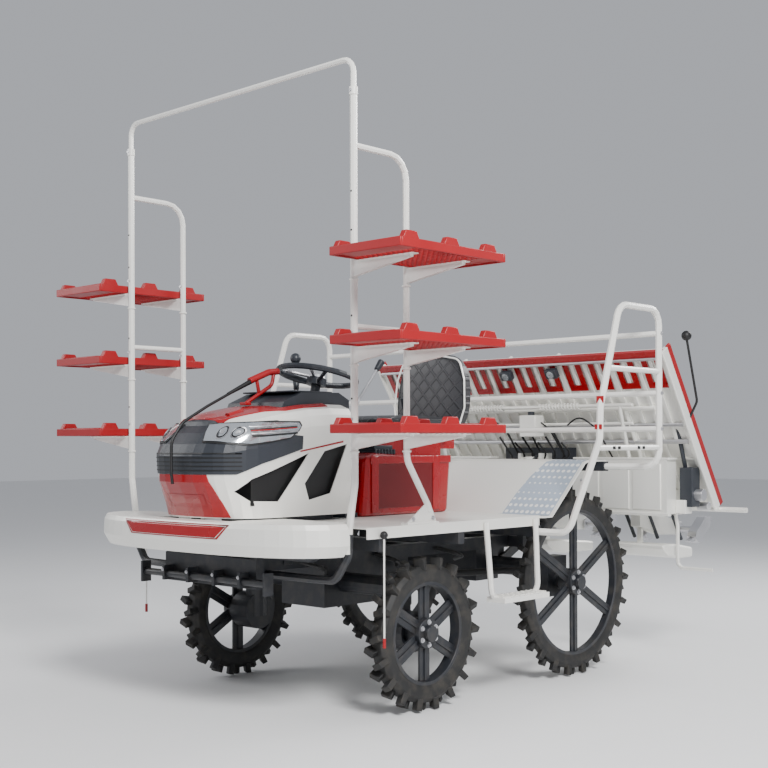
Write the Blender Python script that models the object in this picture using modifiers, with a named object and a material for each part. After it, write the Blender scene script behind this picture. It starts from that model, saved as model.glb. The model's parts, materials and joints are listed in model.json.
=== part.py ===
"""Six-row ride-on rice transplanter, modelled piece by piece.

Units are metres. +Z is up, the machine faces -Y and its left side is +X.
The origin is on the ground, under the middle of the machine's outer box.
"""

import math

import bmesh
import bpy
from mathutils import Matrix, Vector

# ---------------------------------------------------------------- driving dimensions
GAP = 0.0003                  # between pieces that touch
PIN_GAP = 0.0006              # between a pin and its bore

FRONT_AXLE_Y = -0.67
WHEELBASE = 1.10
REAR_AXLE_Y = FRONT_AXLE_Y + WHEELBASE
TRACK = 1.22
FRONT_WHEEL_R = 0.325
FRONT_WHEEL_W = 0.092
REAR_WHEEL_R = 0.450
REAR_WHEEL_W = 0.064

RAIL_X = 0.20                 # middle of each long frame rail
RAIL_W = 0.05
RAIL_BOTTOM = 0.60
RAIL_TOP = 0.66
FRAME_FRONT = FRONT_AXLE_Y - 0.66
FRAME_REAR = REAR_AXLE_Y + 0.096

DECK_TOP = 0.800
DECK_EDGE = 0.045             # depth of the deck's turned-down edge
DECK_SHEET = 0.006
DECK_HALF = 0.76
DECK_FRONT = FRONT_AXLE_Y - 0.50
DECK_REAR = FRONT_AXLE_Y + 0.62
WELL_HALF = 0.24              # half width of the engine opening
WELL_REAR = FRONT_AXLE_Y - 0.05

APRON_HALF = 0.74
APRON_NOSE = FRONT_AXLE_Y - 0.86
APRON_TOP = 0.818
APRON_BOTTOM = 0.690

HOOD_HALF = 0.29
HOOD_REAR = FRONT_AXLE_Y - 0.09
HOOD_NOSE = FRONT_AXLE_Y - 0.825
HOOD_BOTTOM = 0.824
HOOD_WALL = 0.005
HOOD_SKIN = 0.004             # thickness of the panels laid on the hood
HOOD_HINGE = (0.0, FRONT_AXLE_Y - 0.735, 0.845)
HOOD_PIN_R = 0.006

POST_X = 0.731                # rack posts
POST_FRONT_Y = FRONT_AXLE_Y - 0.534
POST_REAR_Y = FRONT_AXLE_Y - 0.235
POST_R = 0.0145
HOOP_R = 0.0130
POST_TOP = 2.500
HOOP_TOP = 2.278
ARCH_TOP = 2.617
ARCH_R = 0.0115
TIE_Z = 1.580
TRAY_LEVELS = (("lower", 1.166), ("middle", 1.500), ("upper", 1.832))
TRAY_IN = 0.756
TRAY_OUT = 1.120
TRAY_FRONT = FRONT_AXLE_Y - 0.692
TRAY_REAR = FRONT_AXLE_Y - 0.085
TRAY_DEPTH = 0.040
TRAY_WALL = 0.004

GUARD_X = 1.090
GUARD_FRONT = FRONT_AXLE_Y + 0.615
GUARD_REAR = FRONT_AXLE_Y + 1.100
GUARD_R = 0.0155
GUARD_TOP = 1.740
GUARD_RAILS = (1.190, 1.355, 1.630)

REAR_DECK_TOP = 1.045
REAR_DECK_HALF = 0.780

LIFT_PIN_Y = REAR_AXLE_Y + 0.10
LOWER_PIN_Z = 0.520
UPPER_PIN_Z = 0.840
LIFT_RUN = 0.400              # lower arm's run and rise at rest, with the unit raised
LIFT_RISE = 0.200
PIN_R = 0.012

UNIT_Y = LIFT_PIN_Y + 0.500   # middle of the planting unit's main beam
BEAM_Z = 0.790
ROW_PITCH = 0.300
ROTOR_Y = UNIT_Y + 0.370
ROTOR_Z = 0.660
ROTOR_REACH = 0.130
PLATFORM_HALF = 0.947
PLATFORM_FOOT = (UNIT_Y + 0.200, 0.790)
PLATFORM_HEAD = (UNIT_Y - 0.320, 1.580)
RAIL_REACH = 1.110            # half length of the platform's lower slide rail

COLOURS = {                   # slot: (red, green, blue), roughness, metallic
    "ivory_paint": ((0.86, 0.85, 0.80), 0.35, 0.0),
    "white_tube": ((0.88, 0.87, 0.84), 0.30, 0.0),
    "red_plastic": ((0.62, 0.01, 0.03), 0.40, 0.0),
    "red_paint": ((0.65, 0.01, 0.03), 0.25, 0.0),
    "dark_plastic": ((0.06, 0.065, 0.075), 0.45, 0.0),
    "chassis_paint": ((0.045, 0.048, 0.055), 0.50, 0.0),
    "rubber": ((0.02, 0.02, 0.022), 0.80, 0.0),
    "bright_steel": ((0.60, 0.60, 0.62), 0.30, 1.0),
    "seat_vinyl": ((0.03, 0.03, 0.035), 0.50, 0.0),
}

# ---------------------------------------------------------------- workshop
for old in list(bpy.data.objects):
    bpy.data.objects.remove(old, do_unlink=True)

PARTS = bpy.data.collections.new("rice_transplanter")
TOOLS = bpy.data.collections.new("cutters")
for group in (PARTS, TOOLS):
    bpy.context.scene.collection.children.link(group)


def material(slot):
    """The Principled material of one slot, made on first use."""
    if slot in bpy.data.materials:
        return bpy.data.materials[slot]
    colour, roughness, metallic = COLOURS[slot]
    made = bpy.data.materials.new(slot)
    made.use_nodes = True
    shader = made.node_tree.nodes["Principled BSDF"]
    shader.inputs["Base Color"].default_value = (*colour, 1.0)
    shader.inputs["Roughness"].default_value = roughness
    shader.inputs["Metallic"].default_value = metallic
    made.diffuse_color = (*colour, 1.0)
    return made


def face_outwards(bm):
    """Turns the faces of a closed shape outwards."""
    bmesh.ops.recalc_face_normals(bm, faces=bm.faces)
    if all(edge.is_manifold for edge in bm.edges) and bm.calc_volume(signed=True) < 0:
        bmesh.ops.reverse_faces(bm, faces=bm.faces)


def as_object(bm, name="piece"):
    """A helper object from a bmesh. It stays out of the render until it is named as a part."""
    face_outwards(bm)
    mesh = bpy.data.meshes.new(name)
    bm.to_mesh(mesh)
    bm.free()
    return helper(bpy.data.objects.new(name, mesh))


def helper(obj):
    TOOLS.objects.link(obj)
    obj.hide_render = True
    obj.display_type = "WIRE"
    return obj


def frozen(obj):
    """A mesh object with the modifiers and the curve of obj applied and its caps welded."""
    if obj.name not in TOOLS.objects:
        TOOLS.objects.link(obj)
    bpy.context.view_layer.update()
    graph = bpy.context.evaluated_depsgraph_get()
    mesh = bpy.data.meshes.new_from_object(obj.evaluated_get(graph))
    bm = bmesh.new()
    bm.from_mesh(mesh)
    bmesh.ops.remove_doubles(bm, verts=bm.verts, dist=0.00001)
    bm.to_mesh(mesh)
    bm.free()
    made = bpy.data.objects.new(obj.name, mesh)
    made.matrix_world = obj.matrix_world
    bpy.data.objects.remove(obj, do_unlink=True)
    return helper(made)


def block(low, high):
    """A box between two corners."""
    bm = bmesh.new()
    bmesh.ops.create_cube(bm, size=1.0)
    low, high = Vector(low), Vector(high)
    size = high - low
    for vert in bm.verts:
        vert.co = Vector([low[i] + (vert.co[i] + 0.5) * size[i] for i in range(3)])
    return as_object(bm)


def rod(start, end, radius, sides=12, end_radius=None):
    """A solid round bar, or a cone, between two points."""
    start, end = Vector(start), Vector(end)
    bm = bmesh.new()
    bmesh.ops.create_cone(
        bm,
        cap_ends=True,
        segments=sides,
        radius1=radius,
        radius2=radius if end_radius is None else end_radius,
        depth=(end - start).length,
    )
    turn = (end - start).to_track_quat("Z", "Y").to_matrix().to_4x4()
    bm.transform(Matrix.Translation((start + end) / 2) @ turn)
    return as_object(bm)


def rounded(points, bend, steps=4):
    """The points of a path with each inner corner replaced by an arc of radius bend."""
    points = [Vector(point) for point in points]
    path = [points[0]]
    for before, corner, after in zip(points, points[1:], points[2:]):
        to_before = (before - corner).normalized()
        to_after = (after - corner).normalized()
        half = to_before.angle(to_after) / 2
        if half > math.radians(88):
            path.append(corner)
            continue
        longest = 0.49 * min((before - corner).length, (after - corner).length)
        radius = min(bend, longest * math.tan(half))
        middle = (to_before + to_after).normalized()
        across = (to_after - to_before).normalized()
        centre = corner + middle * (radius / math.sin(half))
        sweep = math.pi / 2 - half
        for step in range(steps + 1):
            angle = sweep * (2 * step / steps - 1)
            path.append(centre + (across * math.sin(angle) - middle * math.cos(angle)) * radius)
    path.append(points[-1])
    return path


def tube(points, radius, bend=0.05, steps=4, closed=False, resolution=2):
    """A bent round tube along a path."""
    curve = bpy.data.curves.new("tube", "CURVE")
    curve.dimensions = "3D"
    curve.bevel_depth = radius
    curve.bevel_resolution = resolution
    curve.use_fill_caps = True
    path = rounded(points, bend, steps) if bend else [Vector(point) for point in points]
    spline = curve.splines.new("POLY")
    spline.points.add(len(path) - 1)
    for place, point in zip(spline.points, path):
        place.co = (*point, 1.0)
    spline.use_cyclic_u = closed
    return frozen(bpy.data.objects.new("tube", curve))


def plate(outline, axis, low, high):
    """A flat outline of (u, v) points with thickness from low to high along an axis.

    The outline's plane is (Y, Z) for axis X, (X, Z) for axis Y and (X, Y) for axis Z.
    """
    curve = bpy.data.curves.new("plate", "CURVE")
    curve.dimensions = "2D"
    curve.fill_mode = "BOTH"
    curve.extrude = (high - low) / 2
    spline = curve.splines.new("POLY")
    spline.points.add(len(outline) - 1)
    for place, (u, v) in zip(spline.points, outline):
        place.co = (u, v, 0.0, 1.0)
    spline.use_cyclic_u = True
    made = frozen(bpy.data.objects.new("plate", curve))
    middle = (low + high) / 2
    turns = {
        "X": Matrix(((0, 0, 1, middle), (1, 0, 0, 0), (0, 1, 0, 0), (0, 0, 0, 1))),
        "Y": Matrix(((1, 0, 0, 0), (0, 0, 1, middle), (0, 1, 0, 0), (0, 0, 0, 1))),
        "Z": Matrix.Translation((0, 0, middle)),
    }
    made.data.transform(turns[axis])
    if axis == "Y":
        made.data.flip_normals()
    return made


def turned(profile, centre, steps=32):
    """A ring or wheel: a closed profile of (along X, radius) points spun about the X axis."""
    bm = bmesh.new()
    verts = [bm.verts.new((radius, 0.0, along)) for along, radius in profile]
    for first, second in zip(verts, verts[1:] + verts[:1]):
        bm.edges.new((first, second))
    mesh = bpy.data.meshes.new("turned")
    bm.to_mesh(mesh)
    bm.free()
    obj = bpy.data.objects.new("turned", mesh)
    screw = obj.modifiers.new("turn", "SCREW")
    screw.steps = steps
    screw.render_steps = steps
    screw.use_merge_vertices = True
    screw.merge_threshold = 0.0001
    made = frozen(obj)
    made.data.transform(Matrix.Translation(centre) @ Matrix.Rotation(math.radians(90), 4, "Y"))
    bm = bmesh.new()
    bm.from_mesh(made.data)
    face_outwards(bm)
    bm.to_mesh(made.data)
    bm.free()
    return made


def combined(obj, others, operation):
    for number, other in enumerate(others):
        step = obj.modifiers.new(f"{operation.lower()}_{number}", "BOOLEAN")
        step.operation = operation
        step.object = other
    return obj


def joined(*pieces):
    """The first piece united with the others."""
    return combined(pieces[0], pieces[1:], "UNION")


def cut(obj, *cutters):
    return combined(obj, cutters, "DIFFERENCE")


def kept_inside(obj, *regions):
    return combined(obj, regions, "INTERSECT")


def part(name, obj, slot, pivot=(0, 0, 0), smooth=True):
    """Makes a helper a named part, with its origin at pivot."""
    TOOLS.objects.unlink(obj)
    PARTS.objects.link(obj)
    obj.hide_render = False
    obj.display_type = "TEXTURED"
    obj.name = name
    obj.data.name = name
    obj.data.transform(Matrix.Translation(-Vector(pivot)))
    obj.location = pivot
    obj.data.materials.clear()
    obj.data.materials.append(material(slot))
    if smooth:
        obj.data.shade_smooth()
        obj.data.set_sharp_from_angle(angle=math.radians(35))
    return obj


def both_sides(low, high):
    """The same box on the left and on the right of the middle."""
    return [
        block(low, high),
        block((-high[0], low[1], low[2]), (-low[0], high[1], high[2])),
    ]


SIDES = (("left", 1), ("right", -1))


# ---------------------------------------------------------------- chassis
def main_frame():
    """Two rails, cross members, deck outriggers, rear deck beam, lift mast and rack support tube."""
    rails = both_sides(
        (RAIL_X - RAIL_W / 2, FRAME_FRONT, RAIL_BOTTOM), (RAIL_X + RAIL_W / 2, FRAME_REAR, RAIL_TOP)
    )
    member = 0.04
    reach = RAIL_X + 0.01
    pieces = []
    for y in (
        FRONT_AXLE_Y - 0.38,
        FRONT_AXLE_Y - 0.10,
        FRONT_AXLE_Y + 0.37,
        REAR_AXLE_Y - 0.05,
        FRAME_REAR - member,
    ):
        pieces.append(block((-reach, y, RAIL_BOTTOM + 0.001), (reach, y + member, RAIL_TOP - 0.001)))
    # front plate that carries the bumper and the apron's two stays
    plate_half = WELL_HALF + 0.06
    pieces.append(
        block((-plate_half, FRAME_FRONT - 0.002, 0.54), (plate_half, FRAME_FRONT + member, RAIL_TOP + 0.001))
    )
    stay_top = APRON_TOP - DECK_SHEET - GAP
    pieces += both_sides(
        (WELL_HALF + 0.02, FRAME_FRONT + 0.002, RAIL_TOP - 0.02),
        (plate_half - 0.001, FRAME_FRONT + member - 0.002, stay_top),
    )
    # hood hinge: two brackets and their pin
    py, pz = HOOD_HINGE[1:]
    bracket = (
        (py, pz + 0.010), (py, pz - 0.010), (py + 0.066, pz - 0.012), (py + 0.078, RAIL_TOP - 0.005),
        (py + 0.108, RAIL_TOP - 0.005), (py + 0.108, pz + 0.002), (py + 0.090, pz + 0.010),
    )
    for _, sign in SIDES:
        span = sorted((sign * 0.100, sign * 0.112))
        pieces.append(plate(bracket, "X", *span))
        pieces.append(rod((span[0] - 0.0005, py, pz), (span[1] + 0.0005, py, pz), 0.0105, sides=16))
    pieces.append(rod((-0.114, py, pz), (0.114, py, pz), HOOD_PIN_R))
    # outriggers under the deck
    top = DECK_TOP - DECK_EDGE - GAP
    for y in (FRONT_AXLE_Y - 0.43, FRONT_AXLE_Y + 0.05, DECK_REAR - 0.03):
        pieces += both_sides((RAIL_X - 0.02, y, top - 0.05), (DECK_HALF, y + member, top))
        pieces += both_sides(
            (RAIL_X - 0.018, y + 0.001, RAIL_TOP - 0.01), (RAIL_X + 0.018, y + 0.039, top - 0.01)
        )
    # rear deck beam on two uprights
    beam_y = GUARD_REAR
    beam_top = REAR_DECK_TOP - 0.008 - GAP
    pieces += both_sides((0.28, beam_y - 0.019, RAIL_BOTTOM + 0.002), (0.32, beam_y + 0.019, beam_top - 0.01))
    pieces.append(
        block((-0.321, beam_y - 0.02, RAIL_BOTTOM + 0.003), (0.321, beam_y + 0.02, RAIL_TOP - 0.003))
    )
    pieces.append(block((-0.80, beam_y - 0.02, beam_top - 0.045), (0.80, beam_y + 0.02, beam_top)))
    # lift mast: two side plates with a cross pin for each arm
    pieces += both_sides(
        (0.060, LIFT_PIN_Y - 0.035, LOWER_PIN_Z - 0.035), (0.080, LIFT_PIN_Y + 0.035, UPPER_PIN_Z + 0.035)
    )
    pieces.append(
        block(
            (-0.079, LIFT_PIN_Y - 0.034, RAIL_BOTTOM + 0.004), (0.079, LIFT_PIN_Y - 0.004, RAIL_TOP - 0.004)
        )
    )
    for z, half in ((LOWER_PIN_Z, 0.112), (UPPER_PIN_Z, 0.070), (LOWER_PIN_Z + 0.045, 0.070)):
        pieces.append(rod((-half, LIFT_PIN_Y, z), (half, LIFT_PIN_Y, z), PIN_R))
    # bent tube that carries the feet of the two front rack posts
    foot = POST_X - 0.031
    half_path = ((foot, 0.7747), (foot - 0.005, 0.690), (foot - 0.075, 0.590), (0.50, 0.588))
    path = [(-x, POST_FRONT_Y, z) for x, z in half_path] + [(x, POST_FRONT_Y, z) for x, z in half_path[::-1]]
    pieces.append(tube(path, 0.017, bend=0.06))
    return part("main_frame", joined(*rails, *pieces), "chassis_paint")


def front_bumper():
    """Cross tube with clamp plates, bolted to the frame's front plate."""
    y, z = FRAME_FRONT - 0.032, 0.572
    pieces = [rod((-0.405, y, z), (0.405, y, z), 0.0150, sides=14)]
    for x in (-0.249, -0.086, 0.086, 0.249):
        pieces.append(
            block((x - 0.008, y - 0.021, z - 0.026), (x + 0.008, FRAME_FRONT - 0.002 - GAP, z + 0.036))
        )
    for side in (1, -1):
        inner, outer = sorted((side * 0.398, side * 0.410))
        pieces.append(block((inner, y - 0.022, z - 0.045), (outer, y + 0.024, z + 0.045)))
    return part("front_bumper", joined(*pieces), "chassis_paint")


def engine_block():
    """The engine as one plain block on the frame's cross members."""
    return part(
        "engine_block",
        block((-0.165, FRONT_AXLE_Y - 0.45, RAIL_TOP - 0.001 + GAP), (0.165, FRONT_AXLE_Y - 0.10, 1.02)),
        "chassis_paint",
    )


def transmission_case():
    """Gearbox under the frame with the front axle tubes and the steering heads."""
    top = RAIL_BOTTOM + 0.001 - GAP
    axle_z = 0.505
    head_x = TRACK / 2 - 0.14
    pieces = [
        block((-0.14, FRONT_AXLE_Y - 0.13, 0.40), (0.14, FRONT_AXLE_Y + 0.42, top)),
        rod((-head_x, FRONT_AXLE_Y, axle_z), (head_x, FRONT_AXLE_Y, axle_z), 0.045, sides=14),
    ]
    for side in (1, -1):
        x = side * head_x
        pieces.append(rod((x, FRONT_AXLE_Y, 0.435), (x, FRONT_AXLE_Y, 0.570), 0.054, sides=16))
    return part("transmission_case", joined(*pieces), "chassis_paint")


def rear_axle_case():
    """Rear gearbox, half-axle tubes and the two final drives."""
    top = RAIL_BOTTOM + 0.001 - GAP
    y = REAR_AXLE_Y
    hub_x = TRACK / 2 - REAR_WHEEL_W / 2 - 0.045
    pieces = [
        block((-0.050, y - 0.16, 0.43), (0.050, y + 0.055, top)),
        block((-0.13, y - 0.161, 0.431), (0.13, y + 0.02, top - 0.0005)),
        rod((-hub_x + 0.05, y - 0.03, 0.505), (hub_x - 0.05, y - 0.03, 0.505), 0.045, sides=14),
    ]
    for side in (1, -1):
        inner, outer = sorted((side * (hub_x - 0.09), side * (hub_x - 0.012)))
        pieces.append(block((inner, y - 0.085, 0.375), (outer, y + 0.07, 0.570)))
        pieces.append(
            rod((side * (hub_x - 0.02), y, REAR_WHEEL_R), (side * hub_x, y, REAR_WHEEL_R), 0.04, sides=14)
        )
    return part("rear_axle_case", joined(*pieces), "chassis_paint")


# ---------------------------------------------------------------- wheels and steering
def spoked_wheel(name, centre, radius, width, rim_depth, hub_r, hub_span, spokes, spoke_w, sign):
    """Tyre and rim ring, spokes and hub as one wheel. hub_span is measured outwards from the mid-plane."""
    half = width / 2
    chamfer = 0.22 * width
    ring = turned(
        (
            (-half, radius - chamfer),
            (-half + chamfer, radius),
            (half - chamfer, radius),
            (half, radius - chamfer),
            (half * 0.8, radius - rim_depth),
            (-half * 0.8, radius - rim_depth),
        ),
        centre,
        steps=36,
    )
    middle = Vector(centre)
    inner, outer = sorted((sign * hub_span[0], sign * hub_span[1]))
    hub = rod(middle + Vector((inner, 0, 0)), middle + Vector((outer, 0, 0)), hub_r, sides=20)
    pieces = [ring, hub]
    for number in range(spokes):
        bar = block(
            (-0.006, -spoke_w / 2, hub_r * 0.6), (0.006, spoke_w / 2, radius - rim_depth + 0.006)
        )
        turn = Matrix.Rotation(2 * math.pi * number / spokes, 4, "X")
        bar.data.transform(Matrix.Translation(centre) @ turn)
        pieces.append(bar)
    return part(name, joined(*pieces), "rubber", pivot=centre)


def wheels():
    for side, sign in SIDES:
        spoked_wheel(
            f"front_wheel_{side}",
            (sign * TRACK / 2, FRONT_AXLE_Y, FRONT_WHEEL_R),
            FRONT_WHEEL_R,
            FRONT_WHEEL_W,
            0.095,
            0.066,
            (-0.048, 0.052),
            6,
            0.050,
            sign,
        )
        spoked_wheel(
            f"rear_wheel_{side}",
            (sign * TRACK / 2, REAR_AXLE_Y, REAR_WHEEL_R),
            REAR_WHEEL_R,
            REAR_WHEEL_W,
            0.072,
            0.060,
            (-REAR_WHEEL_W / 2 - 0.045 + GAP, 0.060),
            6,
            0.048,
            sign,
        )


def knuckles():
    """Front final drives that turn under the steering heads and carry the wheels."""
    head_x = TRACK / 2 - 0.14
    for side, sign in SIDES:
        x = sign * head_x
        drum_in, drum_out = sign * (head_x - 0.030), sign * (TRACK / 2 - 0.048 - GAP)
        pieces = [
            rod((x, FRONT_AXLE_Y, 0.300), (x, FRONT_AXLE_Y, 0.435 - GAP), 0.050, sides=16),
            rod(
                (drum_in, FRONT_AXLE_Y, FRONT_WHEEL_R), (drum_out, FRONT_AXLE_Y, FRONT_WHEEL_R), 0.088,
                sides=20
            ),
        ]
        part(
            f"front_knuckle_{side}", joined(*pieces), "chassis_paint", pivot=(x, FRONT_AXLE_Y, FRONT_WHEEL_R)
        )


STEER_TOP = Vector((0.0, FRONT_AXLE_Y - 0.035, 1.435))
STEER_TILT = math.radians(13)


def steering_wheel():
    """Rim, spokes and shaft, on a column that leans back towards the driver."""
    rim_r = 0.178
    rim = turned(
        [(0.014 * math.cos(a), rim_r + 0.014 * math.sin(a)) for a in [k * math.pi / 4 for k in range(8)]],
        (0, 0, 0),
        steps=28,
    )
    rim.data.transform(Matrix.Rotation(math.radians(-90), 4, "Y"))
    pieces = [
        rim, rod((0, 0, -0.085), (0, 0, -0.020), 0.022), rod((0, 0, -0.045), (0, 0, -0.012), 0.045, sides=16)
    ]
    for number in range(3):
        angle = math.radians(90 + 120 * number)
        out = Vector((math.cos(angle), math.sin(angle), 0))
        pieces.append(rod(out * 0.03 + Vector((0, 0, -0.03)), out * (rim_r - 0.002), 0.009, sides=8))
    made = part("steering_wheel", frozen(joined(*pieces)), "dark_plastic")
    made.location = STEER_TOP
    made.rotation_euler = (-STEER_TILT, 0, 0)
    return made


# ---------------------------------------------------------------- body panels
def front_apron():
    """Wide bow-fronted panel ahead of the deck, open below and round the engine."""
    rear = DECK_FRONT - GAP
    levels = (
        (APRON_BOTTOM, 0.955), (APRON_BOTTOM + 0.045, 1.0), (APRON_TOP - 0.02, 0.995), (APRON_TOP, 0.975)
    )
    steps = 12
    bm = bmesh.new()
    rows = []
    for z, scale in levels:
        row = [bm.verts.new((APRON_HALF * scale, rear, z))]
        for step in range(2 * steps + 1):
            angle = math.pi / 2 * (1 - step / steps)
            side = math.copysign(abs(math.sin(angle)) ** 0.72, angle)
            bow = abs(math.cos(angle)) ** 0.80
            start = rear - 0.05
            row.append(
                bm.verts.new((APRON_HALF * scale * side, start - (
                    start - APRON_NOSE * scale + (scale - 1) * rear
                ) * bow, z))
            )
        row.append(bm.verts.new((-APRON_HALF * scale, rear, z)))
        rows.append(row)
    for lower, upper in zip(rows, rows[1:]):
        for k in range(len(lower) - 1):
            bm.faces.new((lower[k], lower[k + 1], upper[k + 1], upper[k]))
    bm.faces.new(rows[-1])
    shell = as_object(bm)
    wall = shell.modifiers.new("wall", "SOLIDIFY")
    wall.thickness = DECK_SHEET
    wall.offset = -1.0
    wall.use_even_offset = True
    shell = frozen(shell)
    notches = both_sides((POST_X - 0.065, POST_FRONT_Y - 0.035, 0.5), (0.9, rear + 0.1, 1.0))
    well = block((-WELL_HALF, FRAME_FRONT - 0.09, 0.6), (WELL_HALF, rear + 0.1, 1.0))
    return part("front_apron", cut(shell, well, *notches), "ivory_paint")


def floor_deck():
    """Flat deck with a turned-down edge, open in the middle for the engine."""
    outer = block((-DECK_HALF, DECK_FRONT, DECK_TOP - DECK_EDGE), (DECK_HALF, DECK_REAR, DECK_TOP))
    sheet = DECK_SHEET
    under = block(
        (-DECK_HALF + sheet, DECK_FRONT + sheet, DECK_TOP - DECK_EDGE - 0.1),
        (DECK_HALF - sheet, DECK_REAR - sheet, DECK_TOP - sheet),
    )
    well = block((-WELL_HALF, DECK_FRONT - 0.1, 0.6), (WELL_HALF, WELL_REAR, 1.0))
    notches = both_sides((POST_X - 0.065, DECK_FRONT - 0.1, 0.5), (0.9, POST_FRONT_Y + 0.040, 1.0))
    return part("floor_deck", cut(outer, under, well, *notches), "ivory_paint")


def hood_roof(y):
    """Height of the hood's centre line at y."""
    run = (y - HOOD_NOSE) / (HOOD_REAR - HOOD_NOSE)
    return 1.205 + 0.105 * math.sin(min(max(run, 0.0), 1.0) * 1.75)


HOOD_LEVELS = (               # share of the height, nose forward of the base, half width
    (0.00, 0.000, 0.985),
    (0.17, 0.020, 0.995),
    (0.42, 0.062, 1.000),
    (0.72, 0.070, 1.000),
    (0.84, 0.046, 0.990),
    (0.94, 0.006, 0.950),
    (1.00, -0.030, 0.880),
)


def hood_surface():
    """The hood's open outer surface, both halves."""
    steps = 9
    base_front = HOOD_NOSE + 0.070
    straight = FRONT_AXLE_Y - 0.48
    rear_steps = (0.35, 0.7, 1.0)
    bm = bmesh.new()
    rows = []
    for share, forward, width in HOOD_LEVELS:
        half = HOOD_HALF * width
        front = base_front - forward
        plan = []
        for step in range(steps + 1):
            angle = math.pi / 2 * step / steps
            plan.append(
                (half * math.sin(angle) ** 0.66, straight - (straight - front) * math.cos(angle) ** 0.75)
            )
        plan += [(half, straight + (HOOD_REAR - straight) * run) for run in rear_steps]
        plan[0] = (0.0, front)
        rows.append(
            [bm.verts.new((x, y, HOOD_BOTTOM + share * (hood_roof(y) - 0.03 - HOOD_BOTTOM))) for x, y in plan]
        )
    for shrink, rise in ((0.80, 0.018), (0.45, 0.027), (0.0, 0.030)):
        row = []
        for x, y in plan:
            inner_y = y + (1 - shrink) * 0.03 * max(0.0, (straight - y) / (straight - plan[0][1]))
            row.append(bm.verts.new((x * shrink, inner_y, hood_roof(y) - 0.03 + rise)))
        rows.append(row)
    for lower, upper in zip(rows, rows[1:]):
        for k in range(len(lower) - 1):
            bm.faces.new((lower[k], lower[k + 1], upper[k + 1], upper[k]))
    bmesh.ops.remove_doubles(bm, verts=bm.verts, dist=0.00001)
    bmesh.ops.triangulate(bm, faces=bm.faces)
    half_skin = as_object(bm)
    mirror = half_skin.modifiers.new("mirror", "MIRROR")
    mirror.merge_threshold = 0.0001
    return frozen(half_skin)


def layer(surface, near, far):
    """The closed layer between two distances from an open surface, measured along its normals."""
    bm = bmesh.new()
    inner, outer = [
        [bm.verts.new(vert.co + vert.normal * distance) for vert in surface.data.vertices]
        for distance in (near, far)
    ]
    uses = {}
    for face in surface.data.polygons:
        corners = list(face.vertices)
        bm.faces.new([outer[k] for k in corners])
        bm.faces.new([inner[k] for k in reversed(corners)])
        for edge in zip(corners, corners[1:] + corners[:1]):
            uses.setdefault(tuple(sorted(edge)), []).append(edge)
    for edges in uses.values():
        if len(edges) == 1:
            first, second = edges[0]
            bm.faces.new((inner[first], inner[second], outer[second], outer[first]))
    return as_object(bm)


def hood_panel(region):
    """A panel laid on the hood's skin, inside a region."""
    return kept_inside(layer(hood_surface(), GAP, GAP + HOOD_SKIN), region)


def hood():
    """The tilting hood: shell, red top panel, dark nose, red lower grille and centre marker."""
    pivot = HOOD_HINGE
    ya = FRONT_AXLE_Y
    shell = layer(hood_surface(), -HOOD_WALL, 0.0)
    py, pz = pivot[1:]
    lugs = both_sides((0.085, py - 0.0165, pz - 0.011), (0.0985, py + 0.010, pz + 0.011))
    pin_bore = rod((-0.12, py, pz), (0.12, py, pz), HOOD_PIN_R + PIN_GAP / 2, sides=16)
    shell = cut(frozen(joined(shell, *lugs)), pin_bore)
    vents = []
    for outline in (
        ((ya - 0.72, 0.935), (ya - 0.657, 0.985), (ya - 0.36, 1.088), (ya - 0.53, 0.890), (ya - 0.66, 0.895)),
        (
            (ya - 0.385, 0.960), (ya - 0.27, 1.095), (ya - 0.135, 1.125), (ya - 0.235, 0.915),
            (ya - 0.36, 0.890)
        ),
    ):
        vents.append(plate(outline, "X", -0.5, 0.5))
    dash_gap = block((-0.195, ya - 0.43, 1.15), (0.195, HOOD_REAR + 0.1, 1.5))
    part("hood_shell", cut(frozen(shell), *vents, dash_gap), "ivory_paint", pivot)
    top = plate(
        ((-0.14, ya - 0.711), (0.14, ya - 0.711), (0.235, ya - 0.44), (0.235, ya - 0.20), (0.205, ya - 0.20),
         (0.205, ya - 0.44), (
             -0.205, ya - 0.44
         ), (-0.205, ya - 0.20), (-0.235, ya - 0.20), (-0.235, ya - 0.44)),
        "Z", 1.1905, 1.6,
    )
    part("hood_top_panel", hood_panel(top), "red_paint", pivot)
    nose = plate(
        ((ya - 0.95, 1.004), (ya - 0.72, 1.004), (ya - 0.62, 1.045), (ya - 0.40, 1.105), (ya - 0.395, 1.160),
         (ya - 0.62, 1.175), (ya - 0.712, 1.190), (ya - 0.712, 1.30), (ya - 0.95, 1.30)),
        "X", -0.5, 0.5,
    )
    part("hood_nose", hood_panel(nose), "dark_plastic", pivot)
    grille = plate(
        ((-0.205, 0.829), (0.205, 0.829), (0.155, 1.003), (-0.155, 1.003)), "Y", ya - 1.0, ya - 0.60
    )
    part("hood_grille", hood_panel(grille), "red_paint", pivot)


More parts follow.
